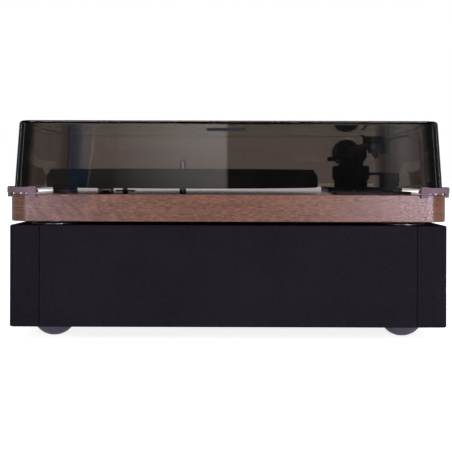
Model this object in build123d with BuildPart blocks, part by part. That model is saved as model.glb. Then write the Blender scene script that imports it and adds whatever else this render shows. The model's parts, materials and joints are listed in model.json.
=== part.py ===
from build123d import *
import os
from math import cos, hypot, radians, sin, sqrt

os.makedirs("parts", exist_ok=True)

# Frame: +Z up, front faces -Y, origin on the floor under the middle of the object.

# Running and seating gaps
RUN = 0.05
SEAT = 0.1
SAFE = 0.3

# Platter, mat and spindle
platter_radius = 150
platter_height = 16.5
platter_float = 5.3
platter_skin = 4
platter_rim = 8
platter_bevel = 5
platter_top_inset = 2.6
platter_under_round = 1.6
mat_thickness = 3
mat_inset = 1.2
mat_edge = 0.8
label_well_radius = 52
label_well_depth = 0.6
spindle_radius = 3.6
spindle_round = 2.9
spindle_rise = 11.2
hub_seat_radius = 5
hub_radius = 14
drive_ring_radius = 70
drive_ring_wall = 5

# Plinth
platter_side_margin = 9
platter_end_margin = 22.5
arm_zone = 111
plinth_width = platter_side_margin + 2 * platter_radius + arm_zone
plinth_depth = 2 * platter_radius + 2 * platter_end_margin
plinth_height = 25.9
plinth_corner = 20
plinth_wall = 18
plinth_edge = 0.8
deck_thickness = 6
bottom_thickness = 3
bottom_rebate = 5

# Speaker cabinet
cabinet_height = 97.7
cabinet_setback = 6
cabinet_corner = 5
cabinet_edge = 1.5
board = 12
pillar_width = 28.6
pillar_depth = 25
grille_depth = 8
seam = 0.4
cabinet_width = plinth_width
cabinet_depth = plinth_depth - 2 * cabinet_setback

# Feet of the cabinet and of the plinth
foot_height = 12.3
foot_dome = 22
foot_flat = 5
foot_inset = 38
iso_gap = 3.6
iso_radius = 8.25
iso_rib = 0.9
cup_radius = 23
cup_bowl_radius = 19
cup_depth = 6
cup_skin = 1
cup_rim = 0.8

# Cover
cover_inset = 3
cover_lift = 4.3
cover_height = 66.8
cover_draft = 4
cover_wall = 3
cover_corner = 15
cover_inner_corner = 19
cover_edge = 3.5
cover_inner_edge = 1.2

# Corner clips and rear hinges
clip_reach = 4.2
clip_low = 1.4
clip_high = 7.5
clip_waist = 0.7
clip_span = 31.2
clip_leg = 7
clip_leg_drop = 2.8
clip_ledge = 8
hinge_x = 157
hinge_length = 20
knuckle_radius = 3
hinge_pin_radius = 1.3
hinge_leaf = 3
hinge_leaf_height = 20
hinge_pad_height = 15
hinge_pad = 2

# Tonearm
arm_inset = 63
arm_from_rear = 80.5
overhang = 10.8
park_angle = 0.6
head_angle = 21.4
arm_axis_height = 47.6
arm_rise = 1.35
plate_thickness = 5
plate_side = 33.5
plate_other_side = 51.5
plate_front = 70
plate_rear = 30
plate_corner = 8
pillar_radius = 19.9
collar_radius = 22.2
collar_low = 13
collar_top = 30.5
collar_bevel = 2
pivot_shaft_radius = 4
yoke_foot_radius = 14.5
yoke_width = 36
yoke_depth = 16
yoke_ear = 4
tilt_pin_radius = 1.5
bearing_block = 14
bearing_height = 9.6
tube_radius = 4.5
tube_wall = 1
tail_radius = 4
head_back = 19
head_front = 15
head_width = 20
head_height = 6.6
head_wall = 1.6
head_block_length = 13
cartridge_width = 12
cartridge_length = 10
cartridge_height = 8.8
stylus_width = 8
stylus_height = 4.5
stylus_drop = 6.5
weight_radius = 16.8
weight_length = 18
weight_back = 45
dial_length = 4
dial_radius = 14
bias_radius = 2.55
bias_length = 9.9
bias_height = 38.5

# Arm rest and cueing
rest_ahead = 54
rest_post_radius = 4
rest_depth = 9
rest_gap = 3
rest_wall = 3
rest_side = 2
rest_above = 0.5
rest_reach = 7
rest_lip = 0.6
rest_shelf = 2.4
clip_pin = 0.9
clip_hook_gap = 0.8
clip_hook = 1.8
clip_hub = 1.9
clip_open = 75
cue_side = 29.5
cue_width = 18.8
cue_depth = 28
cue_top = 21.5
cue_ahead = 48
lift_travel = 3
lift_gap = 1
lift_bar_low = 19.1
lift_bar_thickness = 3.4
lift_bar_width = 6
lift_arc = 24
lift_band = 5
lift_riser = 6
lever_length = 30
lever_width = 6
lever_height = 14
lever_swing = 20

# Motor, controls
motor_x = -121
motor_y = 60
motor_radius = 17
motor_height = 13
motor_ring_radius = 11.35
motor_shaft_radius = 2.9
pulley_radius = 6
pulley_height = 7
belt_thickness = 0.8
belt_width = 4.4
knob_radius = 12.2
knob_height = 9
knob_from_side = 47
knob_from_front = 50.5
strip_length = 78
strip_depth = 30
strip_height = 2.4
strip_from_side = 27
strip_from_front = 48.5
button_radius = 5.5
button_spacing = 34
button_travel = 1
button_rise = 1.3

# Speakers and electronics
woofer_radius = 35
woofer_x = 112
cone_radius = 27
tweeter_radius = 17
tweeter_x = 45
screw_radius = 1.6
screw_head = 3
screw_length = 9
jack_plate_width = 150
jack_plate_height = 46
jack_plate_thickness = 1.5
plate_margin = 10
plate_lap = 8
jack_radius = 4.15
jack_length = 8
jack_root = 6
jack_bore = 1.6
jack_count = 4
jack_spacing = 14
volume_shaft = 3
volume_radius = 9
volume_length = 8
rocker_width = 10
rocker_height = 15

# Levels, all from the floor up
cabinet_floor = foot_height
cabinet_top = cabinet_floor + cabinet_height
plinth_floor = cabinet_top + iso_gap
plinth_top = plinth_floor + plinth_height
deck_under = plinth_top - deck_thickness
platter_floor = plinth_top + platter_float
platter_top = platter_floor + platter_height
mat_top = platter_top + mat_thickness
spindle_top = mat_top + spindle_rise
cover_floor = plinth_top + cover_lift
cover_top = cover_floor + cover_height
arm_axis = plinth_top + arm_axis_height
plate_top = plinth_top + plate_thickness

# Places
half_width = plinth_width / 2
half_depth = plinth_depth / 2
cabinet_front = -cabinet_depth / 2
cabinet_back = cabinet_depth / 2
platter_x = -half_width + platter_side_margin + platter_radius
arm_x = half_width - arm_inset
arm_y = half_depth - arm_from_rear
foot_x = cabinet_width / 2 - foot_inset
foot_y = cabinet_depth / 2 - foot_inset
hinge_y = half_depth + clip_reach - knuckle_radius
hinge_z = plinth_top + knuckle_radius + SAFE
knob_x = -half_width + knob_from_side
knob_y = -half_depth + knob_from_front
strip_x = half_width - strip_from_side - strip_length / 2
strip_y = -half_depth + strip_from_front + strip_depth / 2
cover_width = plinth_width - 2 * cover_inset
cover_depth = plinth_depth - 2 * cover_inset

# Tonearm geometry: the pivot, the stylus at rest, and the bend between them
arm_length = hypot(arm_x - platter_x, arm_y) + overhang
stylus_x = arm_x - arm_length * sin(radians(park_angle))
stylus_y = arm_y - arm_length * cos(radians(park_angle))
head_turn = park_angle + head_angle
neck_x = stylus_x + head_back * sin(radians(head_turn))
neck_y = stylus_y + head_back * cos(radians(head_turn))
tube_run = hypot(neck_x - arm_x, neck_y - arm_y)
rise = sin(radians(arm_rise))
level = cos(radians(arm_rise))
tube_side = (neck_x - arm_x) / tube_run
tube_ahead = (neck_y - arm_y) / tube_run
tube_end = tube_run / level
arm_line = Plane(
    origin=(arm_x, arm_y, arm_axis),
    x_dir=(-tube_ahead, tube_side, 0),
    z_dir=(tube_side * level, tube_ahead * level, rise),
)
neck_z = arm_axis + tube_end * rise
head_line = Plane(
    origin=(neck_x, neck_y, neck_z),
    x_dir=(cos(radians(head_turn)), -sin(radians(head_turn)), 0),
    z_dir=(-sin(radians(head_turn)) * level, -cos(radians(head_turn)) * level, rise),
)


def ahead(plane, distance, side=0, up=0):
    """The same plane moved along its own forward, side and up directions."""
    place = plane.from_local_coords((side, up, distance))
    return Plane(origin=place, x_dir=plane.x_dir, z_dir=plane.z_dir)


def save(piece, name):
    piece.part.label = name
    export_step(piece.part, f"parts/{name}.step")


# Cabinet box: a board carcass with solid front pillars, open at front and back
middle_width = cabinet_width - 2 * pillar_width
inside_height = cabinet_height - 2 * board
cabinet_middle_z = cabinet_floor + cabinet_height / 2
conduit_radius = 7
conduit_bore = 5
conduit_y = half_depth - plinth_wall - 3 * conduit_radius
with BuildPart() as cabinet_box:
    with BuildSketch(Plane.XY.offset(cabinet_floor)):
        RectangleRounded(cabinet_width, cabinet_depth, cabinet_corner)
    extrude(amount=cabinet_height)
    fillet(cabinet_box.edges().group_by(Axis.Z)[-1], cabinet_edge)
    fillet(cabinet_box.edges().group_by(Axis.Z)[0], cabinet_edge)
    # the recess for the grille, the full height of the front
    with BuildSketch(Plane.XY.offset(cabinet_floor)):
        with Locations((0, cabinet_front + grille_depth / 2)):
            Rectangle(middle_width, grille_depth)
    extrude(amount=cabinet_height, mode=Mode.SUBTRACT)
    # the way through, between the top and bottom boards
    with BuildSketch(Plane.XY.offset(cabinet_floor + board)):
        Rectangle(middle_width, cabinet_depth)
        room = cabinet_depth - pillar_depth - board
        with Locations((0, (pillar_depth - board) / 2)):
            Rectangle(cabinet_width - 2 * board, room)
    extrude(amount=inside_height, mode=Mode.SUBTRACT)
    # seats for the isolation cups, and the hole for the wiring
    with BuildSketch(Plane.XY.offset(cabinet_top)):
        with GridLocations(2 * foot_x, 2 * foot_y, 2, 2):
            Circle(cup_bowl_radius + SEAT)
    extrude(amount=-cup_depth, mode=Mode.SUBTRACT)
    with BuildSketch(Plane.XY.offset(cabinet_top)):
        with Locations((0, conduit_y)):
            Circle(conduit_radius + SEAT)
    extrude(amount=-board, mode=Mode.SUBTRACT)
save(cabinet_box, "cabinet_box")

# The wiring runs down through one rubber conduit at the back
with BuildPart() as signal_conduit:
    with BuildSketch(Plane.XY.offset(cabinet_top - board)):
        with Locations((0, conduit_y)):
            Circle(conduit_radius)
            Circle(conduit_bore, mode=Mode.SUBTRACT)
    extrude(amount=board + iso_gap + bottom_thickness)
save(signal_conduit, "signal_conduit")

# Baffle: the board behind the grille that carries the speakers
baffle_front = cabinet_front + grille_depth
speaker_z = cabinet_middle_z
baffle_plane = Plane.XZ.offset(-baffle_front)
with BuildPart() as baffle:
    with BuildSketch(baffle_plane):
        with Locations((0, speaker_z)):
            Rectangle(middle_width - 2 * SEAT, inside_height - 2 * SEAT)
        with Locations((-woofer_x, speaker_z), (woofer_x, speaker_z)):
            Circle(woofer_radius - 4, mode=Mode.SUBTRACT)
        with Locations((-tweeter_x, speaker_z), (tweeter_x, speaker_z)):
            Circle(tweeter_radius - 3, mode=Mode.SUBTRACT)
    extrude(amount=-board)
save(baffle, "baffle")

# Speaker drivers: woofers with a pressed basket and a magnet, and small tweeters between them
baffle_rear = baffle_front + board
basket_depth = 34
magnet_radius = 22
magnet_depth = 14
cone_depth = 14
with BuildPart() as speaker_drivers:
    for side in (-1, 1):
        axle = Plane(origin=(side * woofer_x, baffle_rear, speaker_z), x_dir=(1, 0, 0), z_dir=(0, 1, 0))
        with BuildSketch(axle):
            Circle(woofer_radius)
        with BuildSketch(axle.offset(basket_depth)):
            Circle(magnet_radius)
        loft()
        with BuildSketch(axle.offset(basket_depth)):
            Circle(magnet_radius)
        extrude(amount=magnet_depth)
        with BuildSketch(axle):
            Circle(woofer_radius - 3)
        with BuildSketch(axle.offset(basket_depth - 6)):
            Circle(magnet_radius - 6)
        loft(mode=Mode.SUBTRACT)
    for side in (-1, 1):
        axle = Plane(origin=(side * tweeter_x, baffle_rear, speaker_z), x_dir=(1, 0, 0), z_dir=(0, 1, 0))
        with BuildSketch(axle):
            Circle(tweeter_radius)
        extrude(amount=12)
        with BuildSketch(axle):
            Circle(tweeter_radius - 5)
        extrude(amount=-5)
save(speaker_drivers, "speaker_drivers")

with BuildPart() as woofer_cones:
    for side in (-1, 1):
        axle = Plane(origin=(side * woofer_x, baffle_rear, speaker_z), x_dir=(1, 0, 0), z_dir=(0, 1, 0))
        with BuildSketch(axle.offset(SEAT)):
            Circle(cone_radius)
        with BuildSketch(axle.offset(cone_depth)):
            Circle(cone_radius / 3)
        loft()
        with BuildSketch(axle.offset(SEAT)):
            Circle(woofer_radius - 5)
        extrude(amount=1.2)
        with BuildSketch(axle.offset(cone_depth)):
            Circle(cone_radius / 3)
        extrude(amount=basket_depth - 6 - cone_depth - SEAT)
save(woofer_cones, "woofer_cones")

# Grille: a frame in the recess, and the cloth that is stretched over its front
grille_width = middle_width - 2 * seam
cloth_thickness = 1.2
grille_open_height = inside_height - 10
with BuildPart() as grille_frame:
    with BuildSketch(baffle_plane):
        with Locations((0, cabinet_middle_z)):
            Rectangle(grille_width, cabinet_height)
        with Locations((-middle_width / 4, cabinet_middle_z), (middle_width / 4, cabinet_middle_z)):
            Rectangle(middle_width / 2 - 24, grille_open_height, mode=Mode.SUBTRACT)
    extrude(amount=grille_depth - cloth_thickness)
save(grille_frame, "grille_frame")

with BuildPart() as grille_cloth:
    with BuildSketch(Plane.XZ.offset(-cabinet_front - cloth_thickness)):
        with Locations((0, cabinet_middle_z)):
            Rectangle(grille_width, cabinet_height)
    extrude(amount=cloth_thickness)
    fillet(grille_cloth.edges().group_by(Axis.Y)[0], cloth_thickness * 0.7)
save(grille_cloth, "grille_cloth")

# Back panel with its jack plate
back_thickness = 9
jack_z = cabinet_middle_z
inlet_width = 20
inlet_height = 12
jack_row_width = (jack_count - 1) * jack_spacing + 2 * jack_radius
plate_filled = jack_row_width + 2 * volume_radius + rocker_width + inlet_width
plate_gap = (jack_plate_width - 2 * plate_margin - plate_filled) / 3
jack_row_x = -jack_plate_width / 2 + plate_margin + jack_radius
volume_x = jack_row_x - jack_radius + jack_row_width + plate_gap + volume_radius
rocker_x = volume_x + volume_radius + plate_gap + rocker_width / 2
inlet_x = jack_plate_width / 2 - plate_margin - inlet_width / 2


def on_back(x, z, out=0):
    """A plane on the outside of the back panel, looking out of it."""
    return Plane(origin=(x, cabinet_back + out, z), x_dir=(1, 0, 0), z_dir=(0, 1, 0))


with BuildPart() as back_panel:
    with BuildSketch(on_back(0, cabinet_middle_z)):
        Rectangle(middle_width - 2 * SEAT, inside_height - 2 * SEAT)
        Rectangle(
            jack_plate_width - 2 * plate_lap, jack_plate_height - 2 * plate_lap, mode=Mode.SUBTRACT
        )
    extrude(amount=-back_thickness)
save(back_panel, "back_panel")

with BuildPart() as jack_plate:
    with BuildSketch(on_back(0, jack_z)):
        RectangleRounded(jack_plate_width, jack_plate_height, 3)
        for number in range(jack_count):
            with Locations((jack_row_x + number * jack_spacing, 0)):
                Circle(jack_radius + SEAT, mode=Mode.SUBTRACT)
        with Locations((volume_x, 0)):
            Circle(volume_shaft + RUN, mode=Mode.SUBTRACT)
        with Locations((rocker_x, 0)):
            Rectangle(rocker_width + 1.2, rocker_height + 1.2, mode=Mode.SUBTRACT)
        with Locations((inlet_x, 0)):
            Rectangle(inlet_width + 2 * SEAT, inlet_height + 2 * SEAT, mode=Mode.SUBTRACT)
    extrude(amount=jack_plate_thickness)
save(jack_plate, "jack_plate")

with BuildPart() as phono_jacks:
    for number in range(jack_count):
        x = jack_row_x + number * jack_spacing
        with BuildSketch(on_back(x, jack_z, -jack_root)):
            Circle(jack_radius)
        extrude(amount=jack_root + jack_length)
        with BuildSketch(on_back(x, jack_z, jack_length)):
            Circle(jack_bore)
        extrude(amount=-jack_length + 1, mode=Mode.SUBTRACT)
save(phono_jacks, "phono_jacks")

inlet_mouth = jack_plate_thickness + 1
inlet_depth = 9
inlet_slot = 14.8
inlet_slot_height = 8
inlet_pin = 1.15
inlet_pin_pitch = 8.6
with BuildPart() as mains_inlet:
    with BuildSketch(on_back(inlet_x, jack_z, inlet_mouth)):
        Rectangle(inlet_width, inlet_height)
    extrude(amount=-inlet_mouth - inlet_depth - 1)
    with BuildSketch(on_back(inlet_x, jack_z, inlet_mouth)):
        SlotOverall(inlet_slot, inlet_slot_height)
    extrude(amount=-inlet_depth, mode=Mode.SUBTRACT)
    with BuildSketch(on_back(inlet_x, jack_z, inlet_mouth - inlet_depth)):
        with Locations((-inlet_pin_pitch / 2, 0), (inlet_pin_pitch / 2, 0)):
            Circle(inlet_pin)
    extrude(amount=inlet_depth - 2)
save(mains_inlet, "mains_inlet")

# Power rocker: tips from one side to the other about a level line in the plate
rocker_swing = 20
rocker_bulge = 3
rocker_pivot = 0.8
rocker_pivot_end = 0.5
rocker_axis_y = cabinet_back + jack_plate_thickness
rocker_side = Plane(origin=(rocker_x - rocker_width / 2, 0, 0), x_dir=(0, 1, 0), z_dir=(1, 0, 0))
with BuildPart() as rocker_level:
    with BuildSketch(rocker_side):
        with BuildLine():
            half = rocker_height / 2 - 1
            Line((rocker_axis_y, jack_z - half), (rocker_axis_y, jack_z + half))
            ThreePointArc(
                (rocker_axis_y, jack_z + half),
                (rocker_axis_y + rocker_bulge, jack_z),
                (rocker_axis_y, jack_z - half),
            )
        make_face()
        with Locations((rocker_axis_y - 2, jack_z)):
            Rectangle(4, half)
    extrude(amount=rocker_width)
    # the round pivots at its two ends
    with BuildSketch(rocker_side.offset(-rocker_pivot_end)):
        with Locations((rocker_axis_y, jack_z)):
            Circle(rocker_pivot)
    extrude(amount=rocker_width + 2 * rocker_pivot_end)
with BuildPart() as power_rocker:
    rocker_axis = Axis((0, rocker_axis_y, jack_z), (1, 0, 0))
    add(rocker_level.part.rotate(rocker_axis, rocker_swing / 2))
save(power_rocker, "power_rocker")

# Volume knob on its own shaft
with BuildPart() as volume_knob:
    with BuildSketch(on_back(volume_x, jack_z, -volume_length)):
        Circle(volume_shaft)
    extrude(amount=volume_length + jack_plate_thickness + SAFE)
    with BuildSketch(on_back(volume_x, jack_z, jack_plate_thickness + SAFE)):
        Circle(volume_radius)
    extrude(amount=volume_length)
    fillet(volume_knob.edges().group_by(Axis.Y)[-1], 1)
    with BuildSketch(on_back(volume_x, jack_z, jack_plate_thickness + SAFE + volume_length)):
        with PolarLocations(volume_radius, 18):
            Circle(0.6)
    extrude(amount=-volume_length + 1.5, mode=Mode.SUBTRACT)
save(volume_knob, "volume_knob")

# Circuit boards: the amplifier on the cabinet floor, the motor control in the plinth
inner_floor = cabinet_floor + board
board_from_back = 80
amp_x = 20
amp_y = cabinet_back - board_from_back
amp_width = 130
amp_depth = 90
amp_post = 5
sheet = 1.6
amp_top = inner_floor + amp_post + sheet
sink_x = amp_x + 40
sink_y = amp_y - 5
sink_length = 60
control_x = -60
control_from_front = 62.5
control_y = -half_depth + control_from_front
control_floor = plinth_floor + bottom_thickness
with BuildPart() as circuit_boards:
    with BuildSketch(Plane.XY.offset(inner_floor + amp_post)):
        with Locations((amp_x, amp_y)):
            Rectangle(amp_width, amp_depth)
    extrude(amount=sheet)
    with BuildSketch(Plane.XY.offset(amp_top)):
        with Locations((amp_x - 45, amp_y - 20), (amp_x - 25, amp_y - 20), (amp_x - 5, amp_y + 20)):
            Circle(7)
    extrude(amount=20)
    with BuildSketch(Plane.XY.offset(amp_top)):
        with Locations((sink_x, sink_y)):
            with GridLocations(6, 0, 6, 1):
                Rectangle(2, sink_length)
    extrude(amount=24)
    with BuildSketch(Plane.XY.offset(amp_top)):
        with Locations((sink_x, sink_y)):
            Rectangle(34, sink_length)
    extrude(amount=4)
    with BuildSketch(Plane.XY.offset(inner_floor)):
        with Locations((amp_x, amp_y)):
            with GridLocations(amp_width - 14, amp_depth - 14, 2, 2):
                Circle(3)
    extrude(amount=amp_post)
    with BuildSketch(Plane.XY.offset(control_floor)):
        with Locations((control_x, control_y)):
            Rectangle(90, 50)
    extrude(amount=sheet)
    with BuildSketch(Plane.XY.offset(control_floor + sheet)):
        with Locations((control_x - 20, control_y), (control_x + 10, control_y)):
            Rectangle(14, 14)
    extrude(amount=4)
save(circuit_boards, "circuit_boards")

# Transformer: a foot plate, the core and the round-cornered coil around its middle
core_place = (-95, cabinet_back - board_from_back)
core_width = 50
core_depth = 42
core_height = 40
core_foot = 3
core_foot_edge = 8
core_foot_end = 5
coil_width = 34
coil_depth = 58
coil_height = 28
coil_round = 6
with BuildPart() as transformer:
    with BuildSketch(Plane.XY.offset(inner_floor)):
        with Locations(core_place):
            Rectangle(core_width + 2 * core_foot_edge, core_depth + 2 * core_foot_end)
    extrude(amount=core_foot)
    with BuildSketch(Plane.XY.offset(inner_floor + core_foot)):
        with Locations(core_place):
            Rectangle(core_width, core_depth)
    extrude(amount=core_height)
    with BuildSketch(Plane.XY.offset(inner_floor + core_foot + (core_height - coil_height) / 2)):
        with Locations(core_place):
            RectangleRounded(coil_width, coil_depth, coil_round)
    extrude(amount=coil_height)
save(transformer, "transformer")

# Dome feet: a spherical cap with a small flat to stand on
dome_centre = sqrt(foot_dome**2 - foot_flat**2)
foot_top_radius = sqrt(foot_dome**2 - (dome_centre - foot_height) ** 2)
dome_slope = radians(-60)
for name, side, end in (
    ("foot_front_left", -1, -1),
    ("foot_front_right", 1, -1),
    ("foot_rear_left", -1, 1),
    ("foot_rear_right", 1, 1),
):
    with BuildPart() as dome_foot:
        foot_place = Plane(origin=(side * foot_x, end * foot_y, 0), x_dir=(1, 0, 0), z_dir=(0, -1, 0))
        with BuildSketch(foot_place):
            with BuildLine():
                Polyline((foot_flat, 0), (0, 0), (0, foot_height), (foot_top_radius, foot_height))
                ThreePointArc(
                    (foot_top_radius, foot_height),
                    (foot_dome * cos(dome_slope), dome_centre + foot_dome * sin(dome_slope)),
                    (foot_flat, 0),
                )
            make_face()
        revolve(axis=Axis(foot_place.origin, (0, 0, 1)))
    save(dome_foot, name)

# Isolation cups, dished into the cabinet top, and the ribbed feet that stand in them
with BuildPart() as isolation_cups:
    for side in (-1, 1):
        for end in (-1, 1):
            place = (side * foot_x, end * foot_y)
            with BuildSketch(Plane.XY.offset(cabinet_top)):
                with Locations(place):
                    Circle(cup_radius)
            extrude(amount=cup_rim)
            with BuildSketch(Plane.XY.offset(cabinet_top)):
                with Locations(place):
                    Circle(cup_bowl_radius)
            extrude(amount=-cup_depth)
            with BuildSketch(Plane.XY.offset(cabinet_top + cup_rim)):
                with Locations(place):
                    Circle(cup_bowl_radius - cup_skin)
            extrude(amount=-cup_depth - cup_rim + cup_skin, mode=Mode.SUBTRACT)
save(isolation_cups, "isolation_cups")

iso_floor = cabinet_top - cup_depth + cup_skin
iso_height = plinth_floor - iso_floor
iso_ribs = 3
iso_pitch = iso_height / iso_ribs
with BuildPart() as isolation_feet:
    for side in (-1, 1):
        for end in (-1, 1):
            place = (side * foot_x, end * foot_y)
            with BuildSketch(Plane.XY.offset(iso_floor)):
                with Locations(place):
                    Circle(iso_radius - iso_rib)
            extrude(amount=iso_height)
            for number in range(iso_ribs):
                with BuildSketch(Plane.XY.offset(iso_floor + number * iso_pitch)):
                    with Locations(place):
                        Circle(iso_radius)
                extrude(amount=iso_pitch * 0.6)
save(isolation_feet, "isolation_feet")

# Wood screws: in the plinth bottom and in the hinges
base_screw_x = foot_x * 0.55
hinge_screw = hinge_length / 4
hinge_screw_z = plinth_top - hinge_leaf_height / 2
with BuildPart() as screws:
    for side in (-1, 1):
        for x, y in ((side * base_screw_x, -foot_y), (side * base_screw_x, foot_y)):
            with BuildSketch(Plane.XY.offset(plinth_floor)):
                with Locations((x, y)):
                    Circle(screw_head)
            extrude(amount=-1)
            with BuildSketch(Plane.XY.offset(plinth_floor)):
                with Locations((x, y)):
                    Circle(screw_radius)
            extrude(amount=bottom_thickness)
        for shift in (-1, 1):
            x = side * hinge_x + shift * hinge_screw
            out = Plane(origin=(x, half_depth + hinge_leaf, hinge_screw_z), x_dir=(1, 0, 0), z_dir=(0, 1, 0))
            with BuildSketch(out):
                Circle(screw_head)
            extrude(amount=clip_reach - hinge_leaf - SAFE)
            with BuildSketch(out):
                Circle(screw_radius)
            extrude(amount=-screw_length)
save(screws, "screws")

# Plinth: a walnut frame and deck in one, open underneath
pulley_hole = 3.5
sleeve_radius = 9
post_radius = 8
button_stem = 3
knob_shaft = 3
button_places = [(strip_x + side * button_spacing / 2, strip_y) for side in (-1, 1)]
with BuildPart() as plinth:
    with BuildSketch(Plane.XY.offset(plinth_floor)):
        RectangleRounded(plinth_width, plinth_depth, plinth_corner)
    extrude(amount=plinth_height)
    fillet(plinth.edges().group_by(Axis.Z)[-1], plinth_edge)
    fillet(plinth.edges().group_by(Axis.Z)[0], plinth_edge)
    with BuildSketch(Plane.XY.offset(plinth_floor)):
        inner_corner = max(plinth_corner - plinth_wall, 2)
        RectangleRounded(plinth_width - 2 * plinth_wall, plinth_depth - 2 * plinth_wall, inner_corner)
    extrude(amount=plinth_height - deck_thickness, mode=Mode.SUBTRACT)
    rebate_width = plinth_width - 2 * plinth_wall + 2 * bottom_rebate
    rebate_depth = plinth_depth - 2 * plinth_wall + 2 * bottom_rebate
    with BuildSketch(Plane.XY.offset(plinth_floor)):
        RectangleRounded(rebate_width, rebate_depth, inner_corner + bottom_rebate)
    extrude(amount=bottom_thickness, mode=Mode.SUBTRACT)
    # holes in the deck for the bearing, the motor, the arm post, the knob and the buttons
    with BuildSketch(Plane.XY.offset(plinth_top)):
        with Locations((platter_x, 0)):
            Circle(sleeve_radius + SEAT)
        with Locations((motor_x, motor_y)):
            Circle(pulley_hole)
        with Locations((arm_x, arm_y)):
            Circle(post_radius + SEAT)
        with Locations((knob_x, knob_y)):
            Circle(knob_shaft + RUN)
        with Locations(*button_places):
            Circle(button_radius + SAFE)
    extrude(amount=-deck_thickness, mode=Mode.SUBTRACT)
    # holes for the hinge screws
    for side in (-1, 1):
        for shift in (-1, 1):
            x = side * hinge_x + shift * hinge_screw
            with BuildSketch(Plane(origin=(x, half_depth, hinge_screw_z), x_dir=(1, 0, 0), z_dir=(0, 1, 0))):
                Circle(screw_radius + SEAT)
            extrude(amount=-screw_length, mode=Mode.SUBTRACT)
save(plinth, "plinth")

with BuildPart() as plinth_base:
    with BuildSketch(Plane.XY.offset(plinth_floor)):
        RectangleRounded(rebate_width - 2 * SEAT, rebate_depth - 2 * SEAT, inner_corner + bottom_rebate)
        for x in (-base_screw_x, base_screw_x):
            with Locations((x, -foot_y), (x, foot_y)):
                Circle(screw_radius + SEAT, mode=Mode.SUBTRACT)
        with Locations((0, conduit_y)):
            Circle(conduit_radius + SEAT, mode=Mode.SUBTRACT)
    extrude(amount=bottom_thickness)
save(plinth_base, "plinth_base")

# Main bearing: a flanged sleeve hung in the deck, with its closed end under the spindle
sleeve_floor = plinth_floor + bottom_thickness + 2
sleeve_end = 2
sleeve_flange = 15
flange_thickness = 2
with BuildPart() as bearing_sleeve:
    with BuildSketch(Plane.XY.offset(sleeve_floor)):
        with Locations((platter_x, 0)):
            Circle(sleeve_radius)
    extrude(amount=plinth_top - sleeve_floor)
    with BuildSketch(Plane.XY.offset(deck_under)):
        with Locations((platter_x, 0)):
            Circle(sleeve_flange)
    extrude(amount=-flange_thickness)
    with BuildSketch(Plane.XY.offset(plinth_top)):
        with Locations((platter_x, 0)):
            Circle(spindle_radius + RUN)
    extrude(amount=-(plinth_top - sleeve_floor) + sleeve_end, mode=Mode.SUBTRACT)
save(bearing_sleeve, "bearing_sleeve")

# Spindle: a journal in the sleeve, a thick seat in the platter's hub and the record pin on top
journal_floor = sleeve_floor + sleeve_end + SEAT
hub_seat_top = mat_top - label_well_depth
with BuildPart() as spindle:
    with BuildSketch(Plane.XY.offset(journal_floor)):
        with Locations((platter_x, 0)):
            Circle(spindle_radius)
    extrude(amount=spindle_top - journal_floor)
    with BuildSketch(Plane.XY.offset(platter_floor)):
        with Locations((platter_x, 0)):
            Circle(hub_seat_radius)
    extrude(amount=hub_seat_top - platter_floor)
    fillet(spindle.edges().group_by(Axis.Z)[-1], spindle_round)
save(spindle, "spindle")

# Platter: a turned dish, open underneath, with a hub and the ring that the belt drives
spin_plane = Plane(origin=(platter_x, 0, 0), x_dir=(1, 0, 0), z_dir=(0, -1, 0))
spin_axis = Axis((platter_x, 0, 0), (0, 0, 1))
with BuildPart() as platter:
    with BuildSketch(spin_plane):
        with BuildLine():
            Line((0, platter_floor), (0, platter_top))
            Line((0, platter_top), (platter_radius - platter_top_inset, platter_top))
            Line(
                (platter_radius - platter_top_inset, platter_top),
                (platter_radius, platter_top - platter_bevel),
            )
            Line(
                (platter_radius, platter_top - platter_bevel),
                (platter_radius, platter_floor + platter_under_round),
            )
            RadiusArc(
                (platter_radius, platter_floor + platter_under_round),
                (platter_radius - platter_under_round, platter_floor),
                platter_under_round,
            )
            Line((platter_radius - platter_under_round, platter_floor), (0, platter_floor))
        make_face()
    revolve(axis=spin_axis)
    with BuildSketch(Plane.XY.offset(platter_floor)):
        with Locations((platter_x, 0)):
            Circle(platter_radius - platter_rim)
            Circle(drive_ring_radius, mode=Mode.SUBTRACT)
            Circle(drive_ring_radius - drive_ring_wall)
            Circle(hub_radius, mode=Mode.SUBTRACT)
    extrude(amount=platter_height - platter_skin, mode=Mode.SUBTRACT)
    with BuildSketch(Plane.XY.offset(platter_floor)):
        with Locations((platter_x, 0)):
            Circle(drive_ring_radius + SEAT)
    extrude(amount=1, mode=Mode.SUBTRACT)
    with BuildSketch(Plane.XY.offset(platter_floor)):
        with Locations((platter_x, 0)):
            Circle(hub_seat_radius + RUN / 2)
    extrude(amount=platter_height, mode=Mode.SUBTRACT)
save(platter, "platter")

with BuildPart() as platter_mat:
    with BuildSketch(Plane.XY.offset(platter_top)):
        with Locations((platter_x, 0)):
            Circle(platter_radius - platter_top_inset - mat_inset)
            Circle(hub_seat_radius + SEAT, mode=Mode.SUBTRACT)
    extrude(amount=mat_thickness)
    fillet(platter_mat.edges().group_by(Axis.Z)[-1].sort_by(SortBy.LENGTH)[-1], mat_edge)
    # a shallow well for the record's label
    with BuildSketch(Plane.XY.offset(mat_top)):
        with Locations((platter_x, 0)):
            Circle(label_well_radius)
    extrude(amount=-label_well_depth, mode=Mode.SUBTRACT)
save(platter_mat, "platter_mat")

# Motor, its ring on the deck, the pulley and the belt
pulley_floor = platter_floor + 1.5
with BuildPart() as motor:
    with BuildSketch(Plane.XY.offset(deck_under)):
        with Locations((motor_x, motor_y)):
            Circle(motor_radius)
            Circle(motor_shaft_radius + RUN, mode=Mode.SUBTRACT)
    extrude(amount=-motor_height)
save(motor, "motor")

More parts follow.
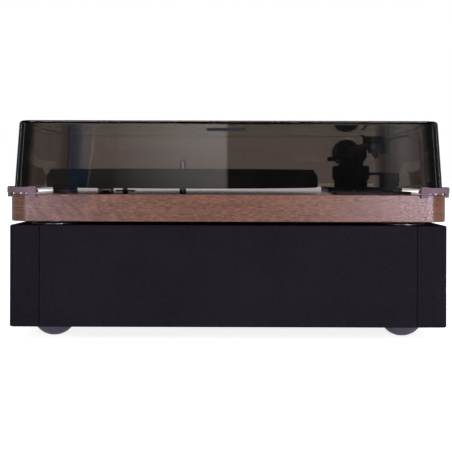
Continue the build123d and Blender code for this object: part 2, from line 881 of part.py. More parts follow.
with BuildPart() as motor_ring:
    with BuildSketch(Plane.XY.offset(plinth_top)):
        with Locations((motor_x, motor_y)):
            Circle(motor_ring_radius)
            Circle(pulley_hole, mode=Mode.SUBTRACT)
    extrude(amount=0.9)
save(motor_ring, "motor_ring")

with BuildPart() as motor_pulley:
    with BuildSketch(Plane.XY.offset(deck_under - motor_height + 3)):
        with Locations((motor_x, motor_y)):
            Circle(motor_shaft_radius)
    extrude(amount=pulley_floor - deck_under + motor_height - 3)
    with BuildSketch(Plane.XY.offset(pulley_floor)):
        with Locations((motor_x, motor_y)):
            Circle(pulley_radius)
    extrude(amount=pulley_height)
    chamfer(motor_pulley.edges().group_by(Axis.Z)[-1], 0.6)
save(motor_pulley, "motor_pulley")

belt_floor = pulley_floor + (pulley_height - belt_width) / 2
with BuildPart() as drive_belt:
    for room, mode in ((SAFE + belt_thickness, Mode.ADD), (SAFE, Mode.SUBTRACT)):
        with BuildSketch(Plane.XY.offset(belt_floor)):
            with Locations((platter_x, 0)):
                Circle(drive_ring_radius + room)
            with Locations((motor_x, motor_y)):
                Circle(pulley_radius + room)
            make_hull()
        extrude(amount=belt_width, mode=mode)
save(drive_belt, "drive_belt")

# Speed knob: a turned knob on a shaft, with a plain pointer line
pointer_width = 1.2
with BuildPart() as speed_knob:
    with BuildSketch(Plane.XY.offset(deck_under - 4)):
        with Locations((knob_x, knob_y)):
            Circle(knob_shaft)
    extrude(amount=deck_thickness + 4 + SAFE)
    with BuildSketch(Plane.XY.offset(plinth_top + SAFE)):
        with Locations((knob_x, knob_y)):
            Circle(knob_radius)
    extrude(amount=knob_height)
    chamfer(speed_knob.edges().group_by(Axis.Z)[-1], 1)
    with BuildSketch(Plane.XY.offset(plinth_top + SAFE + knob_height)):
        with Locations((knob_x, knob_y - knob_radius / 2)):
            Rectangle(pointer_width, knob_radius)
    extrude(amount=-0.6, mode=Mode.SUBTRACT)
    with BuildSketch(Plane.XY.offset(plinth_top + SAFE + 1)):
        with Locations((knob_x, knob_y)):
            with PolarLocations(knob_radius, 36):
                Circle(0.5)
    extrude(amount=knob_height - 2.5, mode=Mode.SUBTRACT)
save(speed_knob, "speed_knob")

# Control strip with its two push buttons
with BuildPart() as control_strip:
    with BuildSketch(Plane.XY.offset(plinth_top)):
        with Locations((strip_x, strip_y)):
            RectangleRounded(strip_length, strip_depth, 4)
        with Locations(*button_places):
            Circle(button_radius + SAFE, mode=Mode.SUBTRACT)
    extrude(amount=strip_height)
    top_face = control_strip.faces().sort_by(Axis.Z)[-1]
    fillet(top_face.outer_wire().edges(), 0.8)
save(control_strip, "control_strip")

button_floor = deck_under + button_travel + SAFE
for name, place in zip(("start_button", "stop_button"), button_places):
    with BuildPart() as button:
        with BuildSketch(Plane.XY.offset(button_floor)):
            with Locations(place):
                Circle(button_radius)
        extrude(amount=plinth_top + strip_height + button_rise - button_floor)
        fillet(button.edges().group_by(Axis.Z)[-1], 0.6)
    save(button, name)

# Arm base plate, pillar and collar
plate_width = plate_side + plate_other_side
plate_depth = plate_front + plate_rear
plate_x = arm_x + (plate_other_side - plate_side) / 2
plate_y = arm_y + (plate_rear - plate_front) / 2
with BuildPart() as arm_plate:
    with BuildSketch(Plane.XY.offset(plinth_top)):
        with Locations((plate_x, plate_y)):
            RectangleRounded(plate_width, plate_depth, plate_corner)
        with Locations((arm_x, arm_y)):
            Circle(post_radius + SEAT, mode=Mode.SUBTRACT)
    extrude(amount=plate_thickness)
    top_face = arm_plate.faces().sort_by(Axis.Z)[-1]
    fillet(top_face.outer_wire().edges(), 1)
save(arm_plate, "arm_plate")

with BuildPart() as arm_pillar:
    with BuildSketch(Plane.XY.offset(plate_top)):
        with Locations((arm_x, arm_y)):
            Circle(pillar_radius)
    extrude(amount=plinth_top + collar_top - plate_top - 1)
    with BuildSketch(Plane.XY.offset(deck_under - 6)):
        with Locations((arm_x, arm_y)):
            Circle(post_radius)
    extrude(amount=plate_top - deck_under + 6)
    with BuildSketch(Plane.XY.offset(deck_under)):
        with Locations((arm_x, arm_y)):
            RegularPolygon(13, 6)
    extrude(amount=-4)
    with BuildSketch(Plane.XY.offset(plinth_top + collar_top)):
        with Locations((arm_x, arm_y)):
            Circle(pivot_shaft_radius + RUN)
    extrude(amount=-collar_top - 2, mode=Mode.SUBTRACT)
save(arm_pillar, "arm_pillar")

with BuildPart() as arm_collar:
    with BuildSketch(Plane.XY.offset(plinth_top + collar_low)):
        with Locations((arm_x, arm_y)):
            Circle(collar_radius)
    extrude(amount=collar_top - collar_low)
    chamfer(arm_collar.edges().group_by(Axis.Z)[-1], collar_bevel)
    chamfer(arm_collar.edges().group_by(Axis.Z)[0], collar_bevel)
    with BuildSketch(Plane.XY.offset(plinth_top + collar_low)):
        with Locations((arm_x, arm_y)):
            Circle(pillar_radius + SEAT)
    extrude(amount=collar_top - collar_low, mode=Mode.SUBTRACT)
save(arm_collar, "arm_collar")

# Swing yoke: a shaft in the pillar, a round foot and two ears that hold the tilt pins
yoke_foot = plinth_top + collar_top + SAFE
yoke_bowl = plinth_top + collar_top + 5
ear_top = arm_axis + 5
yoke_front = Plane(
    origin=(arm_x, arm_y, 0), x_dir=(-tube_ahead, tube_side, 0), z_dir=(tube_side, tube_ahead, 0)
)
bias_plane = Plane(
    origin=(arm_x, arm_y, plinth_top + bias_height), x_dir=(0, 0, 1), z_dir=(tube_ahead, -tube_side, 0)
)
bias_stem = 1.2
with BuildPart() as swing_yoke:
    with BuildSketch(Plane.XY.offset(plinth_top + 2)):
        with Locations((arm_x, arm_y)):
            Circle(pivot_shaft_radius)
    extrude(amount=yoke_foot - plinth_top - 2)
    with BuildSketch(Plane.XY.offset(yoke_foot)):
        with Locations((arm_x, arm_y)):
            Circle(yoke_foot_radius)
    extrude(amount=yoke_bowl - yoke_foot)
    with BuildSketch(yoke_front.offset(-yoke_depth / 2)):
        with BuildLine():
            out = yoke_width / 2
            inn = yoke_width / 2 - yoke_ear
            Polyline(
                (-yoke_foot_radius + 2, yoke_bowl - 2),
                (-out, yoke_bowl + 5),
                (-out, ear_top),
                (-inn, ear_top),
                (-inn, yoke_bowl + 1.5),
                (inn, yoke_bowl + 1.5),
                (inn, ear_top),
                (out, ear_top),
                (out, yoke_bowl + 5),
                (yoke_foot_radius - 2, yoke_bowl - 2),
                (-yoke_foot_radius + 2, yoke_bowl - 2),
            )
        make_face()
    extrude(amount=yoke_depth)
    ear_plane = Plane(origin=(arm_x, arm_y, arm_axis), x_dir=(0, 0, 1), z_dir=(-tube_ahead, tube_side, 0))
    with BuildSketch(ear_plane):
        Circle(tilt_pin_radius + RUN)
    extrude(amount=yoke_width, both=True, mode=Mode.SUBTRACT)
    # the stem of the bias knob, on the left side
    with BuildSketch(bias_plane):
        Circle(bias_stem)
    extrude(amount=yoke_width / 2 + bias_length - 1)
save(swing_yoke, "swing_yoke")

with BuildPart() as bias_knob:
    with BuildSketch(bias_plane.offset(yoke_width / 2)):
        Circle(bias_radius)
        Circle(bias_stem + RUN, mode=Mode.SUBTRACT)
    extrude(amount=bias_length)
save(bias_knob, "bias_knob")

# Tilt pins and the arm tube with its bearing block and threaded tail
with BuildPart() as arm_tube:
    with BuildSketch(arm_line.offset(-bearing_block / 2)):
        RectangleRounded(yoke_width - 2 * yoke_ear - 2 * SAFE - 1, bearing_height, 2)
    extrude(amount=bearing_block)
    with BuildSketch(arm_line):
        Circle(tube_radius)
    extrude(amount=tube_end)
    with BuildSketch(arm_line):
        Circle(tail_radius)
    extrude(amount=-weight_back - weight_length / 2 + 3)
    with BuildSketch(ahead(arm_line, tube_end)):
        Circle(tube_radius - tube_wall)
    extrude(amount=-tube_end + bearing_block, mode=Mode.SUBTRACT)
    with BuildSketch(ear_plane):
        Circle(tilt_pin_radius + RUN / 2)
    extrude(amount=yoke_width, both=True, mode=Mode.SUBTRACT)
save(arm_tube, "arm_tube")

with BuildPart() as tilt_pins:
    for side in (-1, 1):
        with BuildSketch(ear_plane.offset(side * (yoke_width / 2 + 0.6))):
            Circle(tilt_pin_radius)
        extrude(amount=-side * (yoke_ear + 5))
save(tilt_pins, "tilt_pins")

# Headshell: a flat shell, open below in front, with a deep block behind for the tube's socket
head_length = head_back + head_front
head_start = -2
head_shoulder = 2
socket_length = 9
socket_wall = 1.5
block_end = head_start + head_block_length
with BuildPart() as headshell:
    with BuildSketch(ahead(head_line, head_start)):
        RectangleRounded(head_width - 2, head_height - 1, 1.5)
    with BuildSketch(ahead(head_line, head_start + head_shoulder)):
        RectangleRounded(head_width, head_height, 1.5)
    loft()
    with BuildSketch(ahead(head_line, head_start + head_shoulder)):
        RectangleRounded(head_width, head_height, 1.5)
    extrude(amount=head_length - 2 * head_shoulder)
    with BuildSketch(ahead(head_line, head_start + head_length - head_shoulder)):
        RectangleRounded(head_width, head_height, 1.5)
    with BuildSketch(ahead(head_line, head_start + head_length, up=0.8)):
        RectangleRounded(head_width - 4, head_height - 2, 1)
    loft()
    # the deep block behind the cartridge
    with BuildSketch(ahead(head_line, head_start + 1, up=-cartridge_height / 2 - 1)):
        RectangleRounded(head_width - 1, head_height + cartridge_height - 2, 1.2)
    extrude(amount=head_block_length - 1)
    with BuildSketch(ahead(arm_line, tube_end - socket_length)):
        Circle(tube_radius + socket_wall)
    extrude(amount=socket_length + 3)
    # the shell is hollow below its top plate, in front of the block
    with BuildSketch(ahead(head_line, block_end, up=-head_wall)):
        Rectangle(head_width - 2 * head_wall, head_height)
    extrude(amount=head_length - block_end - 4, mode=Mode.SUBTRACT)
    with BuildSketch(ahead(arm_line, tube_end - socket_length)):
        Circle(tube_radius + RUN)
    extrude(amount=socket_length, mode=Mode.SUBTRACT)
save(headshell, "headshell")

# Finger lift: a flat blade that curls out and up from the headshell's outer side
lift_reach = 20
lift_rise = 4.2
blade = 1.6
blade_depth = 4
lift_plane = ahead(head_line, head_start + head_shoulder + 2)
with BuildPart() as finger_lift:
    with BuildSketch(lift_plane):
        with BuildLine():
            start = head_width / 2 + SEAT
            Line((start, 0), (start, blade + 0.8))
            ThreePointArc(
                (start, blade + 0.8),
                (start + lift_reach * 0.5, lift_rise + blade - 0.6),
                (start + lift_reach, lift_rise + blade),
            )
            Line((start + lift_reach, lift_rise + blade), (start + lift_reach, lift_rise))
            ThreePointArc(
                (start + lift_reach, lift_rise),
                (start + lift_reach * 0.5, lift_rise - 1.2),
                (start, 0),
            )
        make_face()
    extrude(amount=blade_depth)
save(finger_lift, "finger_lift")

# Cartridge hung in the shell in front of the block, and the stylus under it
plate_room = head_height / 2 - head_wall
cartridge_floor = -head_height / 2 - cartridge_height
cartridge_tall = plate_room - SEAT - cartridge_floor
with BuildPart() as cartridge:
    with BuildSketch(ahead(head_line, block_end + SEAT, up=cartridge_floor + cartridge_tall / 2)):
        Rectangle(cartridge_width, cartridge_tall)
    extrude(amount=cartridge_length)
    fillet(cartridge.edges().filter_by(Axis.Z, tolerance=10), 1)
save(cartridge, "cartridge")

stylus_back = block_end + 2
stylus_length = head_back + 2.5 - stylus_back
stylus_under = Plane(
    origin=ahead(head_line, stylus_back + stylus_length / 2, up=cartridge_floor - SEAT).origin,
    x_dir=head_line.x_dir,
    z_dir=-head_line.y_dir,
)
tip = ahead(head_line, head_back, up=cartridge_floor - SEAT)
tip_plane = Plane(origin=tip.origin, x_dir=head_line.x_dir, z_dir=-head_line.y_dir)
with BuildPart() as stylus:
    with BuildSketch(stylus_under):
        RectangleRounded(stylus_width, stylus_length, 1)
    with BuildSketch(stylus_under.offset(stylus_height)):
        RectangleRounded(stylus_width * 0.55, stylus_length * 0.6, 1)
    loft()
    with BuildSketch(tip_plane.offset(stylus_height - 2)):
        Circle(1.2)
    with BuildSketch(tip_plane.offset(stylus_drop - SEAT)):
        Circle(0.4)
    loft()
save(stylus, "stylus")

# Counterweight and its force dial, both turning on the tail
with BuildPart() as counterweight:
    with BuildSketch(ahead(arm_line, -weight_back - weight_length / 2)):
        Circle(weight_radius)
    extrude(amount=weight_length)
    fillet(counterweight.edges(), 1.2)
    with BuildSketch(ahead(arm_line, -weight_back - weight_length / 2)):
        Circle(tail_radius + RUN)
    extrude(amount=weight_length, mode=Mode.SUBTRACT)
save(counterweight, "counterweight")

with BuildPart() as weight_dial:
    with BuildSketch(ahead(arm_line, -weight_back + weight_length / 2 + SAFE)):
        Circle(dial_radius)
    extrude(amount=dial_length)
    chamfer(weight_dial.edges(), 0.5)
    with BuildSketch(ahead(arm_line, -weight_back + weight_length / 2 + SAFE)):
        Circle(tail_radius + RUN)
    extrude(amount=dial_length, mode=Mode.SUBTRACT)
save(weight_dial, "weight_dial")

# Arm rest: a post with a shelf under the tube and a wall on its outer side
rest_y = arm_y - rest_ahead
rest_x = arm_x + rest_ahead * tube_side
rest_tube = arm_axis + rest_ahead * rise
shelf_top = rest_tube - tube_radius - rest_gap
wall_x = rest_x + tube_radius + rest_side
wall_top = rest_tube + rest_above
hub_x = wall_x + rest_wall / 2
hub_z = wall_top + clip_hub
rest_front = Plane(origin=(0, rest_y - rest_depth / 2, 0), x_dir=(1, 0, 0), z_dir=(0, -1, 0))
hook_depth = rest_depth / 2
with BuildPart() as arm_rest:
    with BuildSketch(Plane.XY.offset(plate_top)):
        with Locations((rest_x, rest_y)):
            Circle(rest_post_radius)
    extrude(amount=shelf_top - rest_shelf / 2 - plate_top)
    with BuildSketch(rest_front):
        with BuildLine():
            Polyline(
                (rest_x - rest_reach + 2 * rest_lip, shelf_top - rest_shelf),
                (rest_x - rest_reach, shelf_top + rest_lip),
                (rest_x - rest_reach + 3 * rest_lip, shelf_top),
                (wall_x, shelf_top),
                (wall_x, wall_top),
                (wall_x + rest_wall, wall_top),
                (wall_x + rest_wall, shelf_top - rest_shelf),
                (rest_x - rest_reach + 2 * rest_lip, shelf_top - rest_shelf),
            )
        make_face()
    extrude(amount=-rest_depth)
    # a round hinge pin for the clip stands on the wall's rear half
    with BuildSketch(rest_front.offset(-hook_depth - SEAT)):
        with Locations((hub_x, hub_z)):
            Circle(clip_hub)
        with Locations((hub_x, wall_top + clip_hub / 2)):
            Rectangle(rest_wall, clip_hub)
    extrude(amount=-(rest_depth - hook_depth - SEAT))
    with BuildSketch(rest_front):
        with Locations((hub_x, hub_z)):
            Circle(clip_pin)
    extrude(amount=-rest_depth)
save(arm_rest, "arm_rest")

# Arm clip: a hook on the rest's pin, shown open; shut, it closes over the tube
hook_inner = tube_radius + clip_hook_gap
hook_outer = hook_inner + clip_hook
with BuildPart() as hook_shut:
    with BuildSketch(rest_front):
        with Locations((rest_x, rest_tube)):
            Circle(hook_outer)
            Circle(hook_inner, mode=Mode.SUBTRACT)
        with Locations((rest_x, rest_tube - hook_outer + 1.5)):
            Rectangle(4 * hook_outer, 2 * hook_outer, mode=Mode.SUBTRACT)
        with Locations((hub_x, hub_z)):
            Circle(clip_hub)
            Circle(clip_pin + RUN, mode=Mode.SUBTRACT)
        with Locations((rest_x, rest_tube)):
            Circle(hook_inner, mode=Mode.SUBTRACT)
    extrude(amount=-hook_depth)
hook_axis = Axis((hub_x, rest_y, hub_z), (0, 1, 0))
with BuildPart() as arm_clip:
    add(hook_shut.part.rotate(hook_axis, clip_open))
save(arm_clip, "arm_clip")

# Cue block, the lift bar that rises out of it, and the cue lever on its front
cue_x = arm_x + cue_side + cue_width / 2
cue_y = arm_y - cue_ahead
cue_front = cue_y - cue_depth / 2
lift_pin_radius = 2.5
lift_pin_y = cue_y + 4
lever_x = cue_x + 3
lever_axis_y = cue_front + 5
lever_axis_z = plinth_top + lever_height
lever_slot = lever_width + 2 * SAFE
with BuildPart() as cue_block:
    with BuildSketch(Plane.XY.offset(plate_top)):
        with Locations((cue_x, cue_y)):
            RectangleRounded(cue_width, cue_depth, 2)
    extrude(amount=plinth_top + cue_top - plate_top)
    top_face = cue_block.faces().sort_by(Axis.Z)[-1]
    fillet(top_face.outer_wire().edges(), 0.8)
    with BuildSketch(Plane.XY.offset(plinth_top + cue_top)):
        with Locations((cue_x, lift_pin_y)):
            Circle(lift_pin_radius + RUN)
    extrude(amount=-cue_top + plate_thickness + 1, mode=Mode.SUBTRACT)
    # the slot that the lift bar leaves by
    with BuildSketch(Plane.XY.offset(plinth_top + lift_bar_low - lift_travel - SAFE)):
        slot_width = lift_bar_width + 2 * SAFE
        with Locations((cue_x - cue_width / 4, lift_pin_y)):
            Rectangle(cue_width / 2 + 2 * lift_pin_radius + 2 * SAFE, slot_width)
    extrude(amount=cue_top, mode=Mode.SUBTRACT)
    # the slot that the lever turns in
    with BuildSketch(Plane.XY.offset(plate_top + 1)):
        with Locations((lever_x, cue_front + 5)):
            Rectangle(lever_slot, 11)
    extrude(amount=cue_top - plate_thickness - 1, mode=Mode.SUBTRACT)
    with BuildSketch(Plane(origin=(lever_x, lever_axis_y, lever_axis_z), x_dir=(0, 1, 0), z_dir=(1, 0, 0))):
        Circle(1.2)
    extrude(amount=lever_slot / 2 + 0.5, both=True)
save(cue_block, "cue_block")

with BuildPart() as cue_lever:
    with BuildSketch(Plane(origin=(lever_x, 0, 0), x_dir=(0, 1, 0), z_dir=(1, 0, 0))):
        with Locations((lever_axis_y, lever_axis_z)):
            Circle(3)
        with Locations((lever_axis_y - lever_length / 2, lever_axis_z)):
            RectangleRounded(lever_length, 3, 1.2)
        with Locations((lever_axis_y, lever_axis_z)):
            Circle(1.2 + RUN, mode=Mode.SUBTRACT)
    extrude(amount=lever_width / 2, both=True)
save(cue_lever, "cue_lever")

lift_plate_top = arm_axis - tube_radius - lift_gap
bar_low = plinth_top + lift_bar_low
riser_x = arm_x + 6
lift_start = -78
lift_sweep = 72
lift_plate = 2
with BuildPart() as lift_bar:
    # the pin that slides in the cue block
    with BuildSketch(Plane.XY.offset(plate_top + 1 + lift_travel + SAFE)):
        with Locations((cue_x, lift_pin_y)):
            Circle(lift_pin_radius)
    extrude(amount=bar_low - plate_top - 1 - lift_travel)
    # the level bar out of the block, and the riser at its end
    with BuildSketch(Plane.XY.offset(bar_low)):
        with Locations(((riser_x + cue_x + lift_pin_radius) / 2, lift_pin_y)):
            Rectangle(cue_x + lift_pin_radius - riser_x, lift_bar_width)
    extrude(amount=lift_bar_thickness)
    with BuildSketch(Plane.XY.offset(bar_low)):
        with Locations((riser_x, lift_pin_y)):
            Rectangle(lift_riser, lift_bar_width)
    extrude(amount=lift_plate_top - bar_low)
    bridge_back = arm_y - lift_arc
    bridge_front = lift_pin_y - lift_bar_width / 2
    with BuildSketch(Plane.XY.offset(lift_plate_top - lift_plate)):
        with Locations((riser_x, (bridge_back + bridge_front) / 2)):
            Rectangle(lift_riser, bridge_back - bridge_front)
    extrude(amount=lift_plate)
    # the curved platform that runs under the tube all through its swing
    with BuildSketch(Plane.XY.offset(lift_plate_top - lift_plate)):
        with Locations((arm_x, arm_y)):
            Circle(lift_arc + lift_band / 2)
            Circle(lift_arc - lift_band / 2, mode=Mode.SUBTRACT)
        with BuildLine():
            far = 3 * lift_arc
            Polyline(
                (arm_x, arm_y),
                (arm_x + far * cos(radians(lift_start)), arm_y + far * sin(radians(lift_start))),
                (arm_x, arm_y - far),
                (
                    arm_x + far * cos(radians(lift_start - lift_sweep)),
                    arm_y + far * sin(radians(lift_start - lift_sweep)),
                ),
                (arm_x, arm_y),
            )
        make_face(mode=Mode.INTERSECT)
    extrude(amount=lift_plate)
save(lift_bar, "lift_bar")

# Cover: one smoked shell with drafted walls
with BuildPart() as cover_room:
    with BuildSketch(Plane.XY.offset(cover_floor)):
        RectangleRounded(
            cover_width - 2 * cover_wall, cover_depth - 2 * cover_wall, cover_inner_corner
        )
    with BuildSketch(Plane.XY.offset(cover_top - cover_wall)):
        RectangleRounded(
            cover_width - 2 * cover_draft - 2 * cover_wall,
            cover_depth - 2 * cover_draft - 2 * cover_wall,
            cover_inner_corner,
        )
    loft(ruled=True)
    fillet(cover_room.edges().group_by(Axis.Z)[-1], cover_inner_edge)
with BuildPart() as dust_cover:
    with BuildSketch(Plane.XY.offset(cover_floor)):
        RectangleRounded(cover_width, cover_depth, cover_corner)
    with BuildSketch(Plane.XY.offset(cover_top)):
        RectangleRounded(cover_width - 2 * cover_draft, cover_depth - 2 * cover_draft, cover_corner)
    loft(ruled=True)
    fillet(dust_cover.edges().group_by(Axis.Z)[-1], cover_edge)
    add(cover_room.part, mode=Mode.SUBTRACT)
save(dust_cover, "dust_cover")

# Corner clips: they grip the cover's front corners and hook over the plinth's edge
ledge_top = plinth_top + cover_lift - SEAT
clip_width = plinth_width + 2 * clip_reach
clip_depth = plinth_depth + 2 * clip_reach
for name, side in (("left_corner_clip", -1), ("right_corner_clip", 1)):
    corner_x = side * (half_width + clip_reach - clip_span / 2)
    corner_y = -(half_depth + clip_reach - clip_span / 2)
    with BuildPart() as clip:
        # the ledge under the cover's wall
        with BuildSketch(Plane.XY.offset(plinth_top + clip_low)):
            RectangleRounded(clip_width, clip_depth, plinth_corner + clip_reach)
            RectangleRounded(
                cover_width - 2 * clip_ledge, cover_depth - 2 * clip_ledge, 10, mode=Mode.SUBTRACT
            )
            with Locations((corner_x, corner_y)):
                Rectangle(clip_span, clip_span, mode=Mode.INTERSECT)
        extrude(amount=cover_lift - SEAT - clip_low)
        # the wall outside the cover
        with BuildSketch(Plane.XY.offset(ledge_top)):
            RectangleRounded(clip_width, clip_depth, plinth_corner + clip_reach)
            RectangleRounded(
                cover_width + 2 * SEAT, cover_depth + 2 * SEAT, cover_corner, mode=Mode.SUBTRACT
            )
            with Locations((corner_x, corner_y)):
                Rectangle(clip_span, clip_span, mode=Mode.INTERSECT)
        extrude(amount=plinth_top + clip_high - ledge_top)
        # the legs that hook over the front and the side of the plinth
        leg_x = side * (half_width + clip_reach - clip_span + clip_leg / 2)
        leg_y = -(half_depth + clip_reach - clip_span + clip_leg / 2)
        with BuildSketch(Plane.XY.offset(plinth_top + clip_low)):
            with Locations((leg_x, -half_depth - (clip_reach + SAFE) / 2)):
                Rectangle(clip_leg, clip_reach - SAFE)
            with Locations((side * (half_width + (clip_reach + SAFE) / 2), leg_y)):
                Rectangle(clip_reach - SAFE, clip_leg)
        extrude(amount=-clip_low - clip_leg_drop)
        # low pads that rest on the deck
        with BuildSketch(Plane.XY.offset(plinth_top + clip_low)):
            for back in (9, 14, 19):
                with Locations((side * (half_width - back), -half_depth + 6)):
                    Rectangle(2.4, 3)
                with Locations((side * (half_width - 6), -half_depth + back)):
                    Rectangle(3, 2.4)
        extrude(amount=-clip_low + SAFE / 2)
        # the waist between the legs
        with BuildSketch(Plane.XY.offset(plinth_top + clip_high)):
            with Locations((corner_x + side * clip_leg / 2, corner_y - clip_leg / 2)):
                Rectangle(clip_span - clip_leg, clip_span - clip_leg)
        extrude(amount=-clip_waist, mode=Mode.SUBTRACT)
    save(clip, name)

# Rear hinges: a leaf and two knuckles on the plinth, an arm and a middle knuckle on the cover
end_knuckle = hinge_length / 4
mid_knuckle = hinge_length - 2 * end_knuckle - 2 * SAFE
with BuildPart() as hinge_bases:
    for side in (-1, 1):
        with BuildSketch(Plane(origin=(side * hinge_x, half_depth, 0), x_dir=(-1, 0, 0), z_dir=(0, 1, 0))):
            with Locations((0, hinge_screw_z)):
                Rectangle(hinge_length, hinge_leaf_height)
            for shift in (-1, 1):
                with Locations((shift * hinge_screw, hinge_screw_z)):
                    Circle(screw_radius + SEAT, mode=Mode.SUBTRACT)
                with Locations((shift * (hinge_length - end_knuckle) / 2, (plinth_top + hinge_z) / 2)):
                    Rectangle(end_knuckle, hinge_z - plinth_top)
        extrude(amount=hinge_leaf)
        for shift in (-1, 1):
            x = side * hinge_x + shift * (hinge_length - end_knuckle) / 2
            with BuildSketch(Plane(origin=(x, hinge_y, hinge_z), x_dir=(0, 1, 0), z_dir=(1, 0, 0))):
                Circle(knuckle_radius)
            extrude(amount=end_knuckle / 2, both=True)
        with BuildSketch(Plane(origin=(side * hinge_x, hinge_y, hinge_z), x_dir=(0, 1, 0), z_dir=(1, 0, 0))):
            Circle(hinge_pin_radius + RUN / 2)
        extrude(amount=hinge_length / 2, both=True, mode=Mode.SUBTRACT)
save(hinge_bases, "hinge_bases")

with BuildPart() as hinge_pins:
    for side in (-1, 1):
        with BuildSketch(Plane(origin=(side * hinge_x, hinge_y, hinge_z), x_dir=(0, 1, 0), z_dir=(1, 0, 0))):
            Circle(hinge_pin_radius)
        extrude(amount=hinge_length / 2, both=True)
save(hinge_pins, "hinge_pins")

# the arm's pad lies on the cover's slanted rear wall
slant = hypot(cover_draft, cover_height)
wall_back = cover_depth / 2
pad_lift = 1
with BuildPart() as hinge_arms:
    for side in (-1, 1):
        low = (wall_back - cover_draft * pad_lift / cover_height, cover_floor + pad_lift)
        high_z = cover_floor + pad_lift + hinge_pad_height
        high = (wall_back - cover_draft * (pad_lift + hinge_pad_height) / cover_height, high_z)
        side_plane = Plane(
            origin=(side * hinge_x - mid_knuckle / 2, 0, 0), x_dir=(0, 1, 0), z_dir=(1, 0, 0)
        )
        with BuildSketch(side_plane):
            with BuildLine():
                Polyline(
                    (low[0] + SEAT, low[1]),
                    (high[0] + SEAT, high[1]),
                    (high[0] + hinge_pad, high[1]),
                    (hinge_y + 1, hinge_z + 2),
                    (hinge_y, hinge_z - 2),
                    (low[0] + SEAT, low[1]),
                )
            make_face()
            with Locations((hinge_y, hinge_z)):
                Circle(knuckle_radius)
        extrude(amount=mid_knuckle)
        with BuildSketch(side_plane):
            with Locations((hinge_y, hinge_z)):
                Circle(hinge_pin_radius + RUN)
        extrude(amount=mid_knuckle, mode=Mode.SUBTRACT)
save(hinge_arms, "hinge_arms")

print(f"platter centre x {platter_x:.1f}, arm pivot {arm_x:.1f}, {arm_y:.1f}")
print(f"arm length {arm_length:.1f}, stylus at rest {stylus_x:.1f}, {stylus_y:.1f}")
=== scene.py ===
# %% [markdown]
# # A turntable on its speaker cabinet
# The object is a record player with a smoked cover, a walnut plinth and a cloth covered speaker cabinet.
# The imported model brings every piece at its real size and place, in metres. This lesson dresses it: it
# gives each piece its finish, makes the pieces whose charm lies in fine detail, and lights a plain studio.

# %% Load the frame
import json
import math

import bmesh
import bpy
from mathutils import Matrix, Vector


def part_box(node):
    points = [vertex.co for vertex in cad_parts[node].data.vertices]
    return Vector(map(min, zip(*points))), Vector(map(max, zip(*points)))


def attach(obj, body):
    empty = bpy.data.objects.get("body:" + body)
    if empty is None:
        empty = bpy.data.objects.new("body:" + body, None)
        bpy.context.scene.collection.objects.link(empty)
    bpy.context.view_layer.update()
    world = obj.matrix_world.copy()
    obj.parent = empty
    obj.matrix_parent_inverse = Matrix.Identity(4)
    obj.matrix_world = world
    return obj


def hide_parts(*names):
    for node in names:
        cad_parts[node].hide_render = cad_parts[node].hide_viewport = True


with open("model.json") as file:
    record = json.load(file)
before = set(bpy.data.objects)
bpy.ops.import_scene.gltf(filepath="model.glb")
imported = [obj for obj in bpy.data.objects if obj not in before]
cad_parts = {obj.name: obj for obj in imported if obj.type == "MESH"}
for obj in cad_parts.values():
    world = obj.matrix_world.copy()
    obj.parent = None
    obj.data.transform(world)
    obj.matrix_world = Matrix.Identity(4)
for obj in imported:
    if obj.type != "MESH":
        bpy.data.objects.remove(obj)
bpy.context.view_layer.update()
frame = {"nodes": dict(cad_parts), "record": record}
nodes = frame["nodes"]
MM = 0.001

# %% [markdown]
# ## The camera
# The picture was taken level, a little above the plinth, from about one metre in front of it. The horizon
# lies above the picture's middle, so the lens is shifted and not tilted: upright edges stay upright. A
# long lens of about 84 mm gives the same gentle perspective.

# %% Place the camera
CAMERA_PLACE = (0.0, -1.1725, 0.1583)
LENS = 83.67
SENSOR_WIDTH = 36
SHIFT = (-0.0055, -0.113)
ROLL = -0.0028
NEAREST_SEEN = 0.01
camera_data = bpy.data.cameras.new("camera")
camera_data.lens = LENS
camera_data.sensor_width = SENSOR_WIDTH
camera_data.shift_x, camera_data.shift_y = SHIFT
camera_data.clip_start = NEAREST_SEEN
camera = bpy.data.objects.new("camera", camera_data)
camera.location = CAMERA_PLACE
camera.rotation_euler = (math.pi / 2, ROLL, 0)
bpy.context.scene.collection.objects.link(camera)
bpy.context.scene.camera = camera
print("camera", CAMERA_PLACE, "lens", LENS)

# %% [markdown]
# ## Sums on shader sockets
# A finish is a recipe of many small nodes. Sums written as node calls are hard to read, so a socket is
# wrapped in a class that knows plus, minus, times and divide, and adds its Math nodes by itself. All else
# comes from one method, `add`.

# %% The wire and the recipe


class Wire:
    """An output socket that can stand in a sum."""

    def __init__(self, recipe, socket):
        self.recipe = recipe
        self.socket = socket

    def __rsub__(self, other):
        return self.recipe.maths("SUBTRACT", other, self)


SUMS = {
    "__add__": "ADD",
    "__sub__": "SUBTRACT",
    "__mul__": "MULTIPLY",
    "__truediv__": "DIVIDE",
    "__pow__": "POWER",
    "__gt__": "GREATER_THAN",
    "__lt__": "LESS_THAN",
}
for method, operation in SUMS.items():
    setattr(Wire, method, lambda one, two, kind=operation: one.recipe.maths(kind, one, two))


